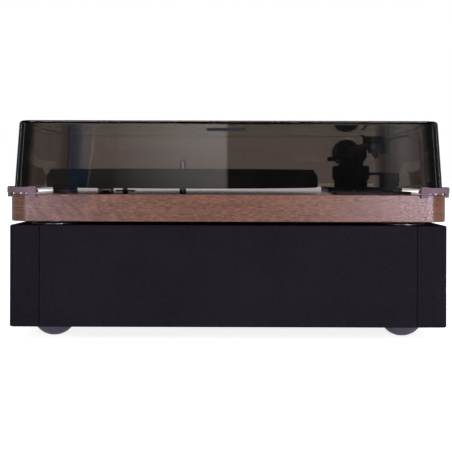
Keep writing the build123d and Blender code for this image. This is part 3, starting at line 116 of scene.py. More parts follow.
class Recipe:
    """A node tree being filled, for a material or for the world."""

    def __init__(self, tree):
        self.tree = tree
        tree.nodes.clear()

    def add(self, kind, settings=None, inputs=None, output=0):
        """Adds a node: its settings first, then the values and links of its sockets."""
        node = self.tree.nodes.new(kind)
        for name, value in (settings or {}).items():
            setattr(node, name, value)
        for name, value in (inputs or {}).items():
            if isinstance(value, Wire):
                self.tree.links.new(value.socket, node.inputs[name])
            else:
                node.inputs[name].default_value = value
        return Wire(self, node.outputs[output]) if node.outputs else None

    def maths(self, operation, first, second=0.0):
        return self.add("ShaderNodeMath", {"operation": operation}, {0: first, 1: second})

    def clamp(self, value, low=0.0, high=1.0):
        return self.add("ShaderNodeClamp", inputs={"Value": value, "Min": low, "Max": high})

    def rise(self, value, start, steepness):
        """0 up to the start, and then a climb to 1."""
        return self.clamp((value - start) * steepness)

    def line(self, value, place, half):
        """1 at the place, and 0 from half a width away."""
        return self.clamp(1 - self.maths("ABSOLUTE", value - place) / half)

    def ramp(self, value, stops):
        """A colour for each value, from pairs of a position and a colour."""
        wire = self.add("ShaderNodeValToRGB", inputs={"Fac": value})
        elements = wire.socket.node.color_ramp.elements
        while len(elements) < len(stops):
            elements.new(0.5)
        for element, (position, colour) in zip(elements, stops):
            element.position = position
            element.color = colour
        return wire

    def noise(self, place, scale, detail=2.0, roughness=0.5):
        wanted = {"Vector": place, "Scale": scale, "Detail": detail, "Roughness": roughness}
        return self.add("ShaderNodeTexNoise", inputs=wanted)

    def drawn_out(self, along, across, scales, detail=2.0, roughness=0.5):
        """Noise stretched by two scales. The third number picks a slice of it."""
        place = self.vector(along * scales[0], across * scales[1], scales[2])
        return self.noise(place, 1.0, detail, roughness)

    def blend(self, factor, first, second, kind="MIX"):
        """Mixes two colours by a factor."""
        settings = {"data_type": "RGBA", "blend_type": kind}
        return self.add("ShaderNodeMix", settings, {0: factor, 6: first, 7: second}, output=2)

    def shaded(self, colour, value, kind="MULTIPLY"):
        """The colour times one number, or plus it."""
        return self.blend(1.0, colour, self.vector(value, value, value), kind)

    def vector(self, x, y, z):
        return self.add("ShaderNodeCombineXYZ", inputs={"X": x, "Y": y, "Z": z})

    def parts(self, vector):
        """The three numbers of a vector."""
        apart = self.tree.nodes.new("ShaderNodeSeparateXYZ")
        self.tree.links.new(vector.socket, apart.inputs[0])
        return [Wire(self, socket) for socket in apart.outputs]

    def rays(self):
        """Whether this ray is the camera's, a mirrored one, or one that went through glass."""
        path = self.tree.nodes.new("ShaderNodeLightPath")
        names = ("Is Camera Ray", "Is Glossy Ray", "Is Transmission Ray")
        return [Wire(self, path.outputs[name]) for name in names]


def grey(value):
    return (value, value, value, 1.0)


SHALLOW = 0.1 * MM
DEEP = 0.2 * MM


class Finish(Recipe):
    """A material recipe that knows where it is on the piece."""

    def __init__(self, name):
        self.material = bpy.data.materials.new(name)
        self.material.use_nodes = True
        super().__init__(self.material.node_tree)
        self.place = self.add("ShaderNodeTexCoord", output="Object")
        self.x, self.y, self.z = self.parts(self.place)

    def off(self, axis):
        """How far the point is from an upright axis, sideways and towards the back."""
        return self.x - axis[0], self.y - axis[1]

    def mottled(self, value, colour, low, high, stops=(0.35, 0.65)):
        """The colour times a low and a high factor, and what lies between, as the value goes."""
        ends = [tuple(min(c * factor, 1.0) for c in colour) + (1,) for factor in (low, high)]
        return self.ramp(value, list(zip(stops, ends)))

    def surface(self, **sockets):
        """The Principled shader, joined to the output. Spaces in a socket's name are underscores."""
        inputs = {name.replace("_", " "): value for name, value in sockets.items()}
        shader = self.add("ShaderNodeBsdfPrincipled", inputs=inputs)
        self.add("ShaderNodeOutputMaterial", inputs={"Surface": shader})
        return self.material

    def bump(self, height, strength, distance=SHALLOW):
        wanted = {"Height": height, "Strength": strength, "Distance": distance}
        return self.add("ShaderNodeBump", inputs=wanted)


# %% [markdown]
# ## The walnut plinth
# The plinth is a frame veneered in walnut, with the grain lying level all round and along the top. The
# grain is noise that is stretched along the wood, at four sizes: broad tone bands, streaks, short dark
# pores, and a slanted ribbon figure where the veneer was cut across a curl. On the sides, x plus y runs
# along the board also round the corners, and z runs across it. On the top x runs along and y across, so
# the upward part of the normal picks between the two. The sides are oiled and softly shining, while the
# deck is lacquered and polished: seen level it is nearly a mirror.

# %% Walnut
WALNUT_DARK = (0.060, 0.024, 0.011, 1)
WALNUT_MIDDLE = (0.129, 0.055, 0.026, 1)
WALNUT_LIGHT = (0.215, 0.099, 0.054, 1)
PORE_BROWN = (0.036, 0.015, 0.009, 1)
GRAIN_WANDER = (9, 30, 0.0)
GRAIN_BANDS = (14, 120, 2.0)
GRAIN_STREAKS = (150, 1000, 5.0)
GRAIN_PORES = (360, 1700, 9.0)
PORE_START = 0.54
RIBBON_PLACE = -0.315
RIBBON_REPEAT = 0.42
TOP_GLOSS = 0.15
LEVEL_ENOUGH = 0.7


def faced(finish):
    """Is the face level, and how far along and across the board is the point?"""
    normal = finish.add("ShaderNodeNewGeometry", output="Normal")
    upwards = finish.parts(normal)[2]
    level = finish.maths("ABSOLUTE", upwards) > LEVEL_ENOUGH
    along = finish.x + finish.y * (1 - level)
    across = finish.z * (1 - level) + finish.y * level
    return level, along, across


def walnut():
    wood = Finish("walnut")
    on_top, along, across = faced(wood)
    across = across + wood.drawn_out(along, across, GRAIN_WANDER) * 0.004
    bands = wood.drawn_out(along, across, GRAIN_BANDS, 2.0, 0.6)
    streaks = wood.drawn_out(along, across, GRAIN_STREAKS, 2.0, 0.6)
    pores = wood.rise(wood.drawn_out(along, across, GRAIN_PORES, 1.0), PORE_START, 8)
    slanted = wood.vector(along * 110 + across * 80, across * 40 - along * 25, 4.0)
    turn = wood.maths("COSINE", (along - RIBBON_PLACE) * (2 * math.pi / RIBBON_REPEAT))
    ribbon = (wood.noise(slanted, 1.0, 1.0) - 0.5) * wood.clamp(turn * 1.6 - 0.6)
    tone = bands * 0.24 + streaks * 0.60 + ribbon * 0.42 + 0.075
    colour = wood.ramp(tone, [(0.36, WALNUT_DARK), (0.50, WALNUT_MIDDLE), (0.66, WALNUT_LIGHT)])
    colour = wood.blend(pores * 0.55, colour, PORE_BROWN)
    height = streaks * 0.4 - pores
    return wood.surface(
        Base_Color=colour,
        Roughness=(streaks * 0.12 + 0.18) * (1 - on_top) + on_top * TOP_GLOSS,
        Specular_IOR_Level=0.38,
        Normal=wood.bump(height * (1 - on_top), 0.30),
    )


# %% [markdown]
# ## The black cloth
# The cabinet is wrapped in speaker cloth. It is a plain weave of fine dark threads with a violet tinge.
# Two waves at right angles make the threads. A cloth fibre hardly shines, so the specular level is low,
# and a slow noise and fine flecks keep the black from looking printed.

# %% Speaker cloth
THREAD = 0.0011
CLOTH_SLUB = (90, 1500, 1.0)
CLOTH_CLOUDS = 22.0
CLOTH_FLECKS = 700.0


def cloth(name, colour):
    weave = Finish(name)
    _, along, across = faced(weave)
    turn = 2 * math.pi / THREAD
    threads = weave.maths("SINE", along * turn) * weave.maths("SINE", across * turn) * 0.5 + 0.5
    slub = weave.drawn_out(along, across, CLOTH_SLUB)
    cloudy = weave.noise(weave.place, CLOTH_CLOUDS, 3.0)
    flecks = weave.noise(weave.place, CLOTH_FLECKS, 2.0)
    tone = threads * 0.35 + slub * 0.35 + cloudy * 0.5 + flecks * 0.9
    return weave.surface(
        Base_Color=weave.mottled(tone * 0.5, colour, 0.6, 1.4, (0.38, 0.67)),
        Roughness=0.92,
        Specular_IOR_Level=0.12,
        Normal=weave.bump(threads + slub * 0.6, 0.5, DEEP),
    )


# %% [markdown]
# ## The smoked cover
# The cover is clear acrylic with a grey brown smoke in it. Each wall lets a little over a quarter of the
# light through, and an edge, where the light has a longer way, is nearly black. That is what absorption in
# the volume does by itself. A lamp can't find its way through bent glass in a short render, so for its rays
# the wall is a plain tinted film.

# %% Smoked acrylic
COVER_WALL = 0.003
COVER_PASS = (0.310, 0.283, 0.251)
COVER_DENSITY = 1000.0
ACRYLIC_IOR = 1.49


def smoked_acrylic():
    smoke = Finish("smoked_acrylic")
    clear = {
        "Base Color": grey(1.0),
        "Roughness": 0.0,
        "IOR": ACRYLIC_IOR,
        "Transmission Weight": 1.0,
    }
    glass = smoke.add("ShaderNodeBsdfPrincipled", inputs=clear)
    film_colour = tuple(math.sqrt(c) for c in COVER_PASS) + (1,)
    film = smoke.add("ShaderNodeBsdfTransparent", inputs={"Color": film_colour})
    lamp_ray = smoke.add("ShaderNodeLightPath", output="Is Shadow Ray")
    cover = smoke.add("ShaderNodeMixShader", inputs={0: lamp_ray, 1: glass, 2: film})
    soak = [1 + math.log(c) / (COVER_DENSITY * COVER_WALL) for c in COVER_PASS]
    thick = {"Color": (*soak, 1), "Density": COVER_DENSITY}
    volume = smoke.add("ShaderNodeVolumeAbsorption", inputs=thick)
    smoke.add("ShaderNodeOutputMaterial", inputs={"Surface": cover, "Volume": volume})
    return smoke.material


# %% [markdown]
# ## Moulded plastic, rubber and metal
# The other finishes differ in colour, shine and grain, so a few short recipes serve them all. Moulded
# plastic and paint have a fine grain. Brushed metal has noise stretched along the way that the brush went.
# A turned face has rings, made by noise on the distance from its axis.

# %% Plastic, paint and turned metal
MOULD_GRAIN = 2500.0
MOULD_CLOUDS = 60.0
BRUSH_GRAIN = 900
METAL_CLOUDS = 45.0
TURNED_SHINE = 0.3
PIN_GRAIN = (2, 3000, 0.0)
# Painted shade on the spindle under the platter: its dark colour, and how far above the platter's underside
# it reaches.
PIN_PAINTED_SHADE = (0.010, 0.009, 0.008, 1)
PIN_SHADE_ABOVE = 0.004


def moulded(name, colour, roughness=0.5, grain=0.15, specular=0.5):
    """Moulded or painted: a fine grain, and slow clouds in the colour and the shine."""
    plastic = Finish(name)
    fine = plastic.noise(plastic.place, MOULD_GRAIN, 2.0)
    slow = plastic.noise(plastic.place, MOULD_CLOUDS, 3.0)
    return plastic.surface(
        Base_Color=plastic.mottled(slow * 0.7 + fine * 0.3, colour, 0.82, 1.15),
        Roughness=plastic.clamp(slow * 0.16 + (roughness - 0.08)),
        Specular_IOR_Level=specular,
        Normal=plastic.bump(fine, grain, DEEP),
    )


def metal(name, colour, roughness=0.3, brushing=(1, 1, 1), metallic=1.0):
    """Brushed metal: the brushing is small along the way that the brush went."""
    steel = Finish(name)
    places = [wire * (BRUSH_GRAIN * part) for wire, part in zip((steel.x, steel.y, steel.z), brushing)]
    lines = steel.noise(steel.vector(*places), 1.0, 3.0, 0.6)
    slow = steel.noise(steel.place, METAL_CLOUDS, 2.0)
    return steel.surface(
        Base_Color=steel.mottled(lines * 0.5 + slow * 0.5, colour, 0.88, 1.1),
        Metallic=metallic,
        Roughness=steel.clamp(lines * 0.18 + (roughness - 0.09)),
        Normal=steel.bump(lines, 0.15),
    )


def turned(name, colour, axis, roughness, rings):
    """A turned face: fine rings round an upright axis."""
    ringed = Finish(name)
    aside, behind = ringed.off(axis)
    radius = (aside * aside + behind * behind) ** 0.5
    lines = ringed.drawn_out(radius, ringed.z, (rings, rings, 0.0))
    return ringed.surface(
        Base_Color=ringed.mottled(lines, colour, 0.85, 1.15, (0.3, 0.7)),
        Specular_IOR_Level=TURNED_SHINE,
        Roughness=ringed.clamp(lines * 0.15 + (roughness - 0.07)),
        Normal=ringed.bump(lines, 0.12),
    )


def bearing_steel(axis, shade_line):
    """A ground steel pin, bright where the record goes, with painted shade where it stands under the
    platter: dark, rougher and not metallic there.
    """
    steel = Finish("spindle_steel")
    aside, behind = steel.off(axis)
    turn = steel.maths("ARCTAN2", behind, aside)
    lines = steel.drawn_out(turn, steel.z, PIN_GRAIN)
    # Painted shade: below the platter's underside and a few millimetres above it, the pin turns dark,
    # rougher and not metallic.
    painted_shade = steel.clamp((shade_line + PIN_SHADE_ABOVE - steel.z) * 400)
    bright = steel.ramp(lines, [(0.3, grey(0.32)), (0.7, grey(0.44))])
    return steel.surface(
        Base_Color=steel.blend(painted_shade, bright, PIN_PAINTED_SHADE),
        Metallic=1 - painted_shade,
        Roughness=steel.clamp(lines * 0.15 + 0.12 + painted_shade * 0.25),
        Normal=steel.bump(lines, 0.1),
    )


# %% [markdown]
# ## Dressing the nodes
# The record names a slot for each node, so the finishes are made once for each slot and every node takes
# the one that its slot asks for.

# %% Give each node its finish
platter_low, platter_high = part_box("platter")
platter_centre = (platter_low + platter_high) / 2
# A colour, the roughness, the grain's depth and the specular level.
MOULDED = {
    "black_board": ((0.02, 0.019, 0.021), 0.8, 0.2, 0.2),
    "board": ((0.42, 0.31, 0.20), 0.8, 0.3, 0.2),
    "black_steel": ((0.022, 0.022, 0.024), 0.42, 0.08),
    "paper_cone": ((0.03, 0.03, 0.032), 0.85, 0.5, 0.2),
    "black_plastic": ((0.022, 0.022, 0.024), 0.5),
    "knob_plastic": ((0.012, 0.012, 0.013), 0.50, 0.10, 0.25),
    "circuit_board": ((0.03, 0.14, 0.06), 0.35),
    "slate_foot": ((0.085, 0.080, 0.105), 0.30, 0.04),
    "rubber": ((0.020, 0.020, 0.021), 0.75, 0.2, 0.3),
    "gloss_black": ((0.008, 0.008, 0.009), 0.42, 0.02, 0.2),
    "arm_black": ((0.010, 0.010, 0.012), 0.52, 0.06, 0.2),
    "tube_metal": ((0.010, 0.010, 0.012), 0.50, 0.03, 0.2),
    "cartridge_plastic": ((0.05, 0.05, 0.06), 0.3, 0.05),
    "stylus_plastic": ((0.07, 0.045, 0.040), 0.4),
    "mauve_clip": ((0.124, 0.079, 0.094), 0.60, 0.2, 0.35),
}
# A colour, the roughness, the brushing and how metallic it is.
METALS = {
    "plate_metal": ((0.10, 0.10, 0.105), 0.38, (0.04, 1, 1)),
    "brass": ((0.75, 0.56, 0.26), 0.25),
    "core_steel": ((0.25, 0.25, 0.26), 0.45),
    "chrome": ((0.10, 0.10, 0.11), 0.35),
    "screw_steel": ((0.45, 0.45, 0.46), 0.32),
    "weight_steel": ((0.012, 0.012, 0.014), 0.36, (1, 0.05, 1), 0.0),
}
finishes = {
    "walnut": walnut(),
    "cabinet_cloth": cloth("cabinet_cloth", (0.0077, 0.0066, 0.0092)),
    "grille_cloth": cloth("grille_cloth", (0.0086, 0.0072, 0.0101)),
    "platter_black": turned("platter_black", (0.008, 0.008, 0.009), platter_centre, 0.42, 1400),
    "mat_rubber": turned("mat_rubber", (0.014, 0.014, 0.014), platter_centre, 0.75, 2500),
    "spindle_steel": bearing_steel(platter_centre, platter_low.z),
    "smoked_cover": smoked_acrylic(),
}
for recipe, looks in ((moulded, MOULDED), (metal, METALS)):
    for name, look in looks.items():
        finishes[name] = recipe(name, *look)
slot_of = {piece["node"]: piece["material_slot"] for piece in frame["record"]["subparts"]}


def dress(thing, finish):
    """The object shows this one finish."""
    thing.data.materials.clear()
    thing.data.materials.append(finish)


def linked(name, mesh):
    """A new object with this mesh, in the scene."""
    thing = bpy.data.objects.new(name, mesh)
    bpy.context.scene.collection.objects.link(thing)
    return thing


for name, node in nodes.items():
    dress(node, finishes[slot_of[name]])
print("finishes", len(finishes))

# %% [markdown]
# ## The studio
# The background is plain white for the camera, and pale behind the object for glass and for polish, while
# the light that the world casts on the object stays soft and moderate. The cover is a mirror as well as a
# window. Its front leans back a little and so shows a strip of the room in front of it: a bright wall at
# the left of the middle, a hard edge, and then a dark part. The strip is painted by direction, as u
# sideways and v upwards for each metre ahead. The room's sides and ceiling are dark, which keeps the
# cover's round corners nearly black, and a narrow pale slit on each side draws a thin line down them.

# %% World
WORLD_LIGHT = 0.55
ROOM_POWER = 2.5
ROOM_SIDES = 0.12
ROOM_SIDES_FROM = 0.28
ROOM_CEILING = (0.030, 0.037, 0.052, 1)
ROOM_CEILING_FROM = 0.45
ROOM_WIDE = 0.25
ROOM_LOW = 0.105
ROOM_HIGH = 0.22
ROOM_EDGE = 60
ROOM_DIMMED = 0.50
ROOM_DIM_HEIGHT = 0.045
ROOM_BEAM = 0.1575
BEAM_DIMS = 0.05
SLIT_PLACE = 0.93
SLIT_HALF = 1 / 30
SLIT_SHINE = 1.6
SLIT_TINT = (0.9, 0.95, 1.0)
FOLDS = (160, 12, 3.0)
FOLDS_UP_TO = -0.09
FOLDS_DEPTH = 0.7
LEAST_AHEAD = 0.05
BACKDROP_TINGE = (0.82, 0.73, 0.82, 1)
THROUGH_TINGE = (0.96, 0.95, 1.0, 1)
ROOM_STRIP = [
    (-0.200, 0.150, 0.141, 0.128),
    (-0.155, 0.130, 0.122, 0.112),
    (-0.151, 0.085, 0.140, 0.280),
    (-0.138, 0.100, 0.150, 0.290),
    (-0.131, 0.190, 0.178, 0.160),
    (-0.110, 0.205, 0.190, 0.165),
    (-0.097, 0.380, 0.360, 0.350),
    (-0.075, 0.500, 0.480, 0.460),
    (-0.046, 0.760, 0.730, 0.710),
    (-0.003, 0.960, 0.930, 0.920),
    (0.000, 0.046, 0.045, 0.047),
    (0.130, 0.046, 0.045, 0.047),
    (0.138, 0.060, 0.062, 0.068),
    (0.139, 0.190, 0.195, 0.205),
    (0.141, 0.085, 0.095, 0.115),
    (0.149, 0.085, 0.095, 0.115),
    (0.151, 0.170, 0.175, 0.185),
    (0.153, 0.250, 0.262, 0.270),
    (0.170, 0.360, 0.375, 0.385),
    (0.180, 0.120, 0.130, 0.140),
]
STREAK_LEFT = -0.138
STREAK_LEAN = 0.09
STREAK_HALF = 0.0014
STREAK_SHINE = 0.40
STREAK_WAVES = 60
STREAK_WAVE = 0.006


def studio_world():
    world = bpy.data.worlds.new("studio")
    world.use_nodes = True
    bpy.context.scene.world = world
    sky = Recipe(world.node_tree)
    direction = sky.add("ShaderNodeTexCoord", output="Generated")
    x, y, z = sky.parts(direction)
    camera_ray, glossy_ray, glass_ray = sky.rays()
    forwards = y * -1
    ahead = sky.maths("MAXIMUM", forwards, LEAST_AHEAD)
    u = x / ahead
    v = z / ahead
    stops = [(at / (2 * ROOM_WIDE) + 0.5, (*colour, 1)) for at, *colour in ROOM_STRIP]
    room = sky.ramp(u / (2 * ROOM_WIDE) + 0.5, stops)
    folds = (sky.drawn_out(u, v, FOLDS) - 0.5) * (u < FOLDS_UP_TO) * FOLDS_DEPTH + 1
    room = sky.shaded(room, folds)
    wave = sky.noise(sky.vector(v * STREAK_WAVES, 0.0, 0.0), 1.0, 1.0) * STREAK_WAVE
    streak = sky.line(u - (v - ROOM_LOW) * STREAK_LEAN - wave, STREAK_LEFT, STREAK_HALF)
    room = sky.shaded(room, streak * STREAK_SHINE, "ADD")
    dimmer = sky.rise(v, ROOM_LOW, 1 / ROOM_DIM_HEIGHT) * (1 - ROOM_DIMMED) + ROOM_DIMMED
    room = sky.shaded(room, dimmer - sky.rise(v, ROOM_BEAM, 200) * BEAM_DIMS)
    strip = sky.rise(v, ROOM_LOW - 0.015, ROOM_EDGE) * sky.clamp((ROOM_HIGH - v) * ROOM_EDGE)
    sideways = sky.maths("ABSOLUTE", x)
    aside = sky.rise(sideways, sky.maths("ABSOLUTE", y) * ROOM_SIDES_FROM, 8)
    in_front = sky.rise(forwards, LEAST_AHEAD, 8)
    above = sky.rise(z, ROOM_CEILING_FROM, 6)
    room = sky.blend(strip, grey(ROOM_SIDES / ROOM_POWER), room)
    behind = sky.blend(glossy_ray, grey(1.0), BACKDROP_TINGE)
    mirrored = sky.blend(in_front, behind, room)
    slit = sky.line(sideways, SLIT_PLACE, SLIT_HALF) * SLIT_SHINE + ROOM_SIDES
    mirrored = sky.blend(aside, mirrored, sky.vector(*(slit * part for part in SLIT_TINT)))
    mirrored = sky.blend(above, mirrored, ROOM_CEILING)
    power = in_front * (1 - aside) * (1 - above) * (ROOM_POWER - 1) + 1
    mirror_ray = sky.clamp(glossy_ray + glass_ray) * (1 - camera_ray)
    shown = sky.blend(mirror_ray, THROUGH_TINGE, mirrored)
    shown = sky.blend(camera_ray, shown, grey(1.0))
    strength = mirror_ray * (power - WORLD_LIGHT) + camera_ray * (1 - WORLD_LIGHT) + WORLD_LIGHT
    background = sky.add("ShaderNodeBackground", inputs={"Color": shown, "Strength": strength})
    sky.add("ShaderNodeOutputWorld", inputs={"Surface": background})


# %% Floor
FLOOR_REACH = 30.0
FLOOR_COLOUR = 0.80
FLOOR_GLOW = 0.84
FLOOR_FAR = 10.0
FLOOR_FADE = 3
FLOOR_NEAR_TONE = 0.70
FLOOR_MIRRORED = 0.3


def studio_floor():
    """A wide pale floor. The camera sees it nearly white, with the object's soft shadow. Through the
    smoked cover the near part of it is a little darker, as a table there would be."""
    mesh = bpy.data.meshes.new("floor")
    corners = [(x * FLOOR_REACH, y * FLOOR_REACH, 0) for x, y in ((-1, -1), (1, -1), (1, 1), (-1, 1))]
    mesh.from_pydata(corners, [], [(0, 1, 2, 3)])
    floor = linked("floor", mesh)
    pale = Finish("pale_floor")
    matt = pale.add("ShaderNodeBsdfDiffuse", inputs={"Color": grey(FLOOR_COLOUR)})
    camera_ray, glossy_ray, glass_ray = pale.rays()
    seen = pale.clamp(camera_ray + glossy_ray * FLOOR_MIRRORED + glass_ray)
    near = pale.clamp((FLOOR_FAR - pale.y) / FLOOR_FADE) * glass_ray
    tone = pale.blend(near, grey(1.0), grey(FLOOR_NEAR_TONE))
    glow = pale.add("ShaderNodeEmission", inputs={"Color": tone, "Strength": seen * FLOOR_GLOW})
    both = pale.add("ShaderNodeAddShader", inputs={0: matt, 1: glow})
    pale.add("ShaderNodeOutputMaterial", inputs={"Surface": both})
    dress(floor, pale.material)


studio_world()
studio_floor()

# %% Lamps


def soft_lamp(name, place, aim, size, power, tint=(1, 1, 1), mirrored=True):
    """A rectangle of light. One that isn't mirrored leaves no shape of itself in the gloss."""
    data = bpy.data.lights.new(name, "AREA")
    data.shape = "RECTANGLE"
    data.size, data.size_y = size
    data.energy = power
    data.color = tint
    lamp = bpy.data.objects.new(name, data)
    lamp.location = place
    lamp.visible_glossy = mirrored
    lamp.rotation_euler = (Vector(aim) - Vector(place)).to_track_quat("-Z", "Y").to_euler()
    bpy.context.scene.collection.objects.link(lamp)


LOOKED_AT = (0, 0, 0.1)
FRONT_SIZE = (0.7, 1.0)
FRONT_TINT = (0.97, 0.93, 1.0)
soft_lamp("overhead", (0, -0.2, 1.8), LOOKED_AT, (1.6, 1.2), 14)
soft_lamp("right_front", (1.3, -1.5, 0.8), LOOKED_AT, FRONT_SIZE, 8, FRONT_TINT, False)
soft_lamp("left_front", (-1.3, -1.5, 0.8), LOOKED_AT, FRONT_SIZE, 1.0, FRONT_TINT, False)
soft_lamp("low_right", (0.95, -2.0, 0.12), (0, 0, 0.12), (1.10, 0.22), 24, (0.93, 0.80, 1.0))
soft_lamp("low_left", (-0.85, -2.0, 0.12), (0, 0, 0.12), (0.80, 0.22), 8, (0.66, 0.70, 1.0))

# %% [markdown]
# ## Shapes that a rule makes
# Much of this object repeats: ribs, knurls, ticks and screws. A rule for them is shorter than drawing each
# copy, and can be changed later. Geometry Nodes hold such a rule, with its sizes as named inputs. A tree
# sets out copies of a template, makes them real and gives them their finish. The result is then frozen to
# a plain mesh, so that nothing live is left on the piece.

# %% A geometry tree and its frozen result
SEAM = 0.00001
FACES_BACK = Matrix.Rotation(-math.pi / 2, 4, "X")


class Growth(Recipe):
    """A Geometry Nodes tree with named sizes, a finish and a template shape."""

    def __init__(self, name, sizes):
        tree = bpy.data.node_groups.new(name, "GeometryNodeTree")
        super().__init__(tree)
        for label, way in (("Shape", "OUTPUT"), ("Template", "INPUT")):
            tree.interface.new_socket(label, in_out=way, socket_type="NodeSocketGeometry")
        self.keys = {}
        for size, start in sizes.items():
            kind = "NodeSocketInt" if isinstance(start, int) else "NodeSocketFloat"
            socket = tree.interface.new_socket(size, in_out="INPUT", socket_type=kind)
            socket.default_value = start
            self.keys[size] = socket.identifier
        socket = tree.interface.new_socket("Finish", in_out="INPUT", socket_type="NodeSocketMaterial")
        self.keys["Finish"] = socket.identifier
        self.entry = tree.nodes.new("NodeGroupInput")

    def given(self, name):
        return Wire(self, self.entry.outputs[name])

    def polar(self, radius, angle, height):
        """The place at a distance from the upright axis, in a direction round it."""
        x = self.maths("COSINE", angle) * radius
        y = self.maths("SINE", angle) * radius
        return self.vector(x, y, height)

    def copies(self, points, turn):
        """The template on each point, turned about the upright axis."""
        wanted = {0: points, "Instance": self.given("Template"), "Rotation": self.vector(0.0, 0.0, turn)}
        self.close(self.add("GeometryNodeInstanceOnPoints", inputs=wanted))

    def lathe(self, rows, profile):
        """A closed lathe shape from a flat grid. The profile tells a row's radius and height."""
        around = self.given("Segments") + 1
        wanted = {"Size X": 1.0, "Size Y": 1.0, "Vertices X": rows, "Vertices Y": around}
        grid = self.add("GeometryNodeMeshGrid", inputs=wanted)
        along, across, _ = self.parts(self.add("GeometryNodeInputPosition"))
        radius, height = profile(self.maths("ROUND", (along + 0.5) * (rows - 1)))
        bent = self.polar(radius, (across + 0.5) * (2 * math.pi), height)
        shape = self.add("GeometryNodeSetPosition", inputs={0: grid, "Position": bent})
        self.close(self.add("GeometryNodeMergeByDistance", inputs={0: shape, "Distance": SEAM}))

    def close(self, shape):
        real = self.add("GeometryNodeRealizeInstances", inputs={0: shape})
        clad = self.add("GeometryNodeSetMaterial", inputs={0: real, "Material": self.given("Finish")})
        self.add("NodeGroupOutput", inputs={0: clad})


def grow(growth, name, finish, sizes, template=None, place=None):
    """Runs the tree on a template mesh and returns an object with the plain result, in its place."""
    piece = linked(name, template or bpy.data.meshes.new(name))
    modifier = piece.modifiers.new("growth", "NODES")
    modifier.node_group = growth.tree
    modifier[growth.keys["Finish"]] = finish
    for size, value in sizes.items():
        modifier[growth.keys[size]] = value
    seen = piece.evaluated_get(bpy.context.evaluated_depsgraph_get())
    mesh = bpy.data.meshes.new_from_object(seen)
    piece.modifiers.clear()
    piece.data = mesh
    mesh.name = name
    if place is not None:
        mesh.transform(place)
    return piece


def settle(piece, body):
    """The last calls on a new piece: the body that it rides on, and a print of its faces."""
    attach(piece, body)
    print(piece.name, "faces", len(piece.data.polygons))


def soften(piece, degrees=35):
    """Round faces shade smoothly, and edges sharper than the angle stay crisp."""
    piece.data.polygons.foreach_set("use_smooth", [True] * len(piece.data.polygons))
    piece.data.set_sharp_from_angle(angle=math.radians(degrees))


def as_mesh(shape, name):
    """The drawn shape as a mesh."""
    mesh = bpy.data.meshes.new(name)
    shape.to_mesh(mesh)
    shape.free()
    return mesh


def joined(name, pieces):
    """Several pieces as one object."""
    shape = bmesh.new()
    finish = pieces[0].data.materials[0]
    for piece in pieces:
        shape.from_mesh(piece.data)
        bpy.data.objects.remove(piece)
    whole = linked(name, as_mesh(shape, name))
    dress(whole, finish)
    return whole


def middle_of(name):
    """The middle of a node's box."""
    low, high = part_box(name)
    return (low + high) / 2


def aimed(place, direction):
    """The matrix that puts a shape's +Z along a direction, at a place."""
    turn = Vector(direction).to_track_quat("Z", "Y").to_matrix().to_4x4()
    return Matrix.Translation(place) @ turn


# %% [markdown]
# ## The record mat
# The mat is moulded rubber with a shallow well for the record's label, and round it rings of fine ribs that
# grip the record. It is a lathe shape whose profile follows a rule, which suits a grid: one side of the
# grid counts the profile's points and the other counts the way round. Set Position then bends the flat
# grid into the mat. The profile runs from the spindle hole over the top, down the rim and back below, so
# the mat is closed, and the doubled points at the seams are merged.

# %% Ribbed mat
MAT_SIZES = {
    "Hole": 5.1 * MM,
    "Well Radius": 52 * MM,
    "Well Depth": 0.6 * MM,
    "Rib Start": 55.5 * MM,
    "Rib Pitch": 4.2 * MM,
    "Rib Depth": 0.5 * MM,
    "Ribs": 20,
    "Segments": 180,
}
MAT_EDGE = 0.8 * MM
RIB_STEPS = 4
ROWS_BEFORE_RIBS = 4
ROWS_AFTER_RIBS = 7


def mat_growth(radius, thickness):
    """The rows of the grid are the profile's points. Rows before and after the ribs are single corners."""
    mat = Growth("ribbed_mat", {"Radius": radius, "Thickness": thickness, **MAT_SIZES})
    get = mat.given
    rows = get("Ribs") * RIB_STEPS + (ROWS_BEFORE_RIBS + ROWS_AFTER_RIBS)
    top, hole, rim, start = get("Thickness"), get("Hole"), get("Radius"), get("Rib Start")
    well = top - get("Well Depth")
    corners = [
        (0, hole, well),
        (1, get("Well Radius"), well),
        (2, get("Well Radius") + MAT_EDGE / 2, top),
        (3, start - MAT_EDGE, top),
        (rows - 7, start + get("Rib Pitch") * get("Ribs"), top),
        (rows - 6, rim - MAT_EDGE, top),
        (rows - 5, rim - MAT_EDGE * 0.3, top - MAT_EDGE * 0.3),
        (rows - 4, rim, top - MAT_EDGE),
        (rows - 3, rim, 0.0),
        (rows - 2, hole, 0.0),
        (rows - 1, hole, well),
    ]

    def profile(row):
        step = row - ROWS_BEFORE_RIBS
        in_ribs = (row > ROWS_BEFORE_RIBS - 0.5) * (row < rows - (ROWS_AFTER_RIBS + 0.5))
        low = mat.maths("MODULO", step, RIB_STEPS) > 1.5
        radius_at = in_ribs * (start + step * get("Rib Pitch") / RIB_STEPS)
        height_at = in_ribs * (top - low * get("Rib Depth"))
        for number, corner_radius, corner_height in corners:
            here = mat.maths("ABSOLUTE", row - number) < 0.5
            radius_at = radius_at + here * corner_radius
            height_at = height_at + here * corner_height
        return radius_at, height_at

    mat.lathe(rows, profile)
    return mat


def outwards(piece):
    """Turns every face of a closed piece outwards and says how many edges are open."""
    shape = bmesh.new()
    shape.from_mesh(piece.data)
    bmesh.ops.remove_doubles(shape, verts=shape.verts, dist=SEAM / 2)
    bmesh.ops.recalc_face_normals(shape, faces=shape.faces)
    open_edges = sum(e.is_boundary for e in shape.edges)
    shape.to_mesh(piece.data)
    shape.free()
    print(piece.name, "open edges", open_edges)


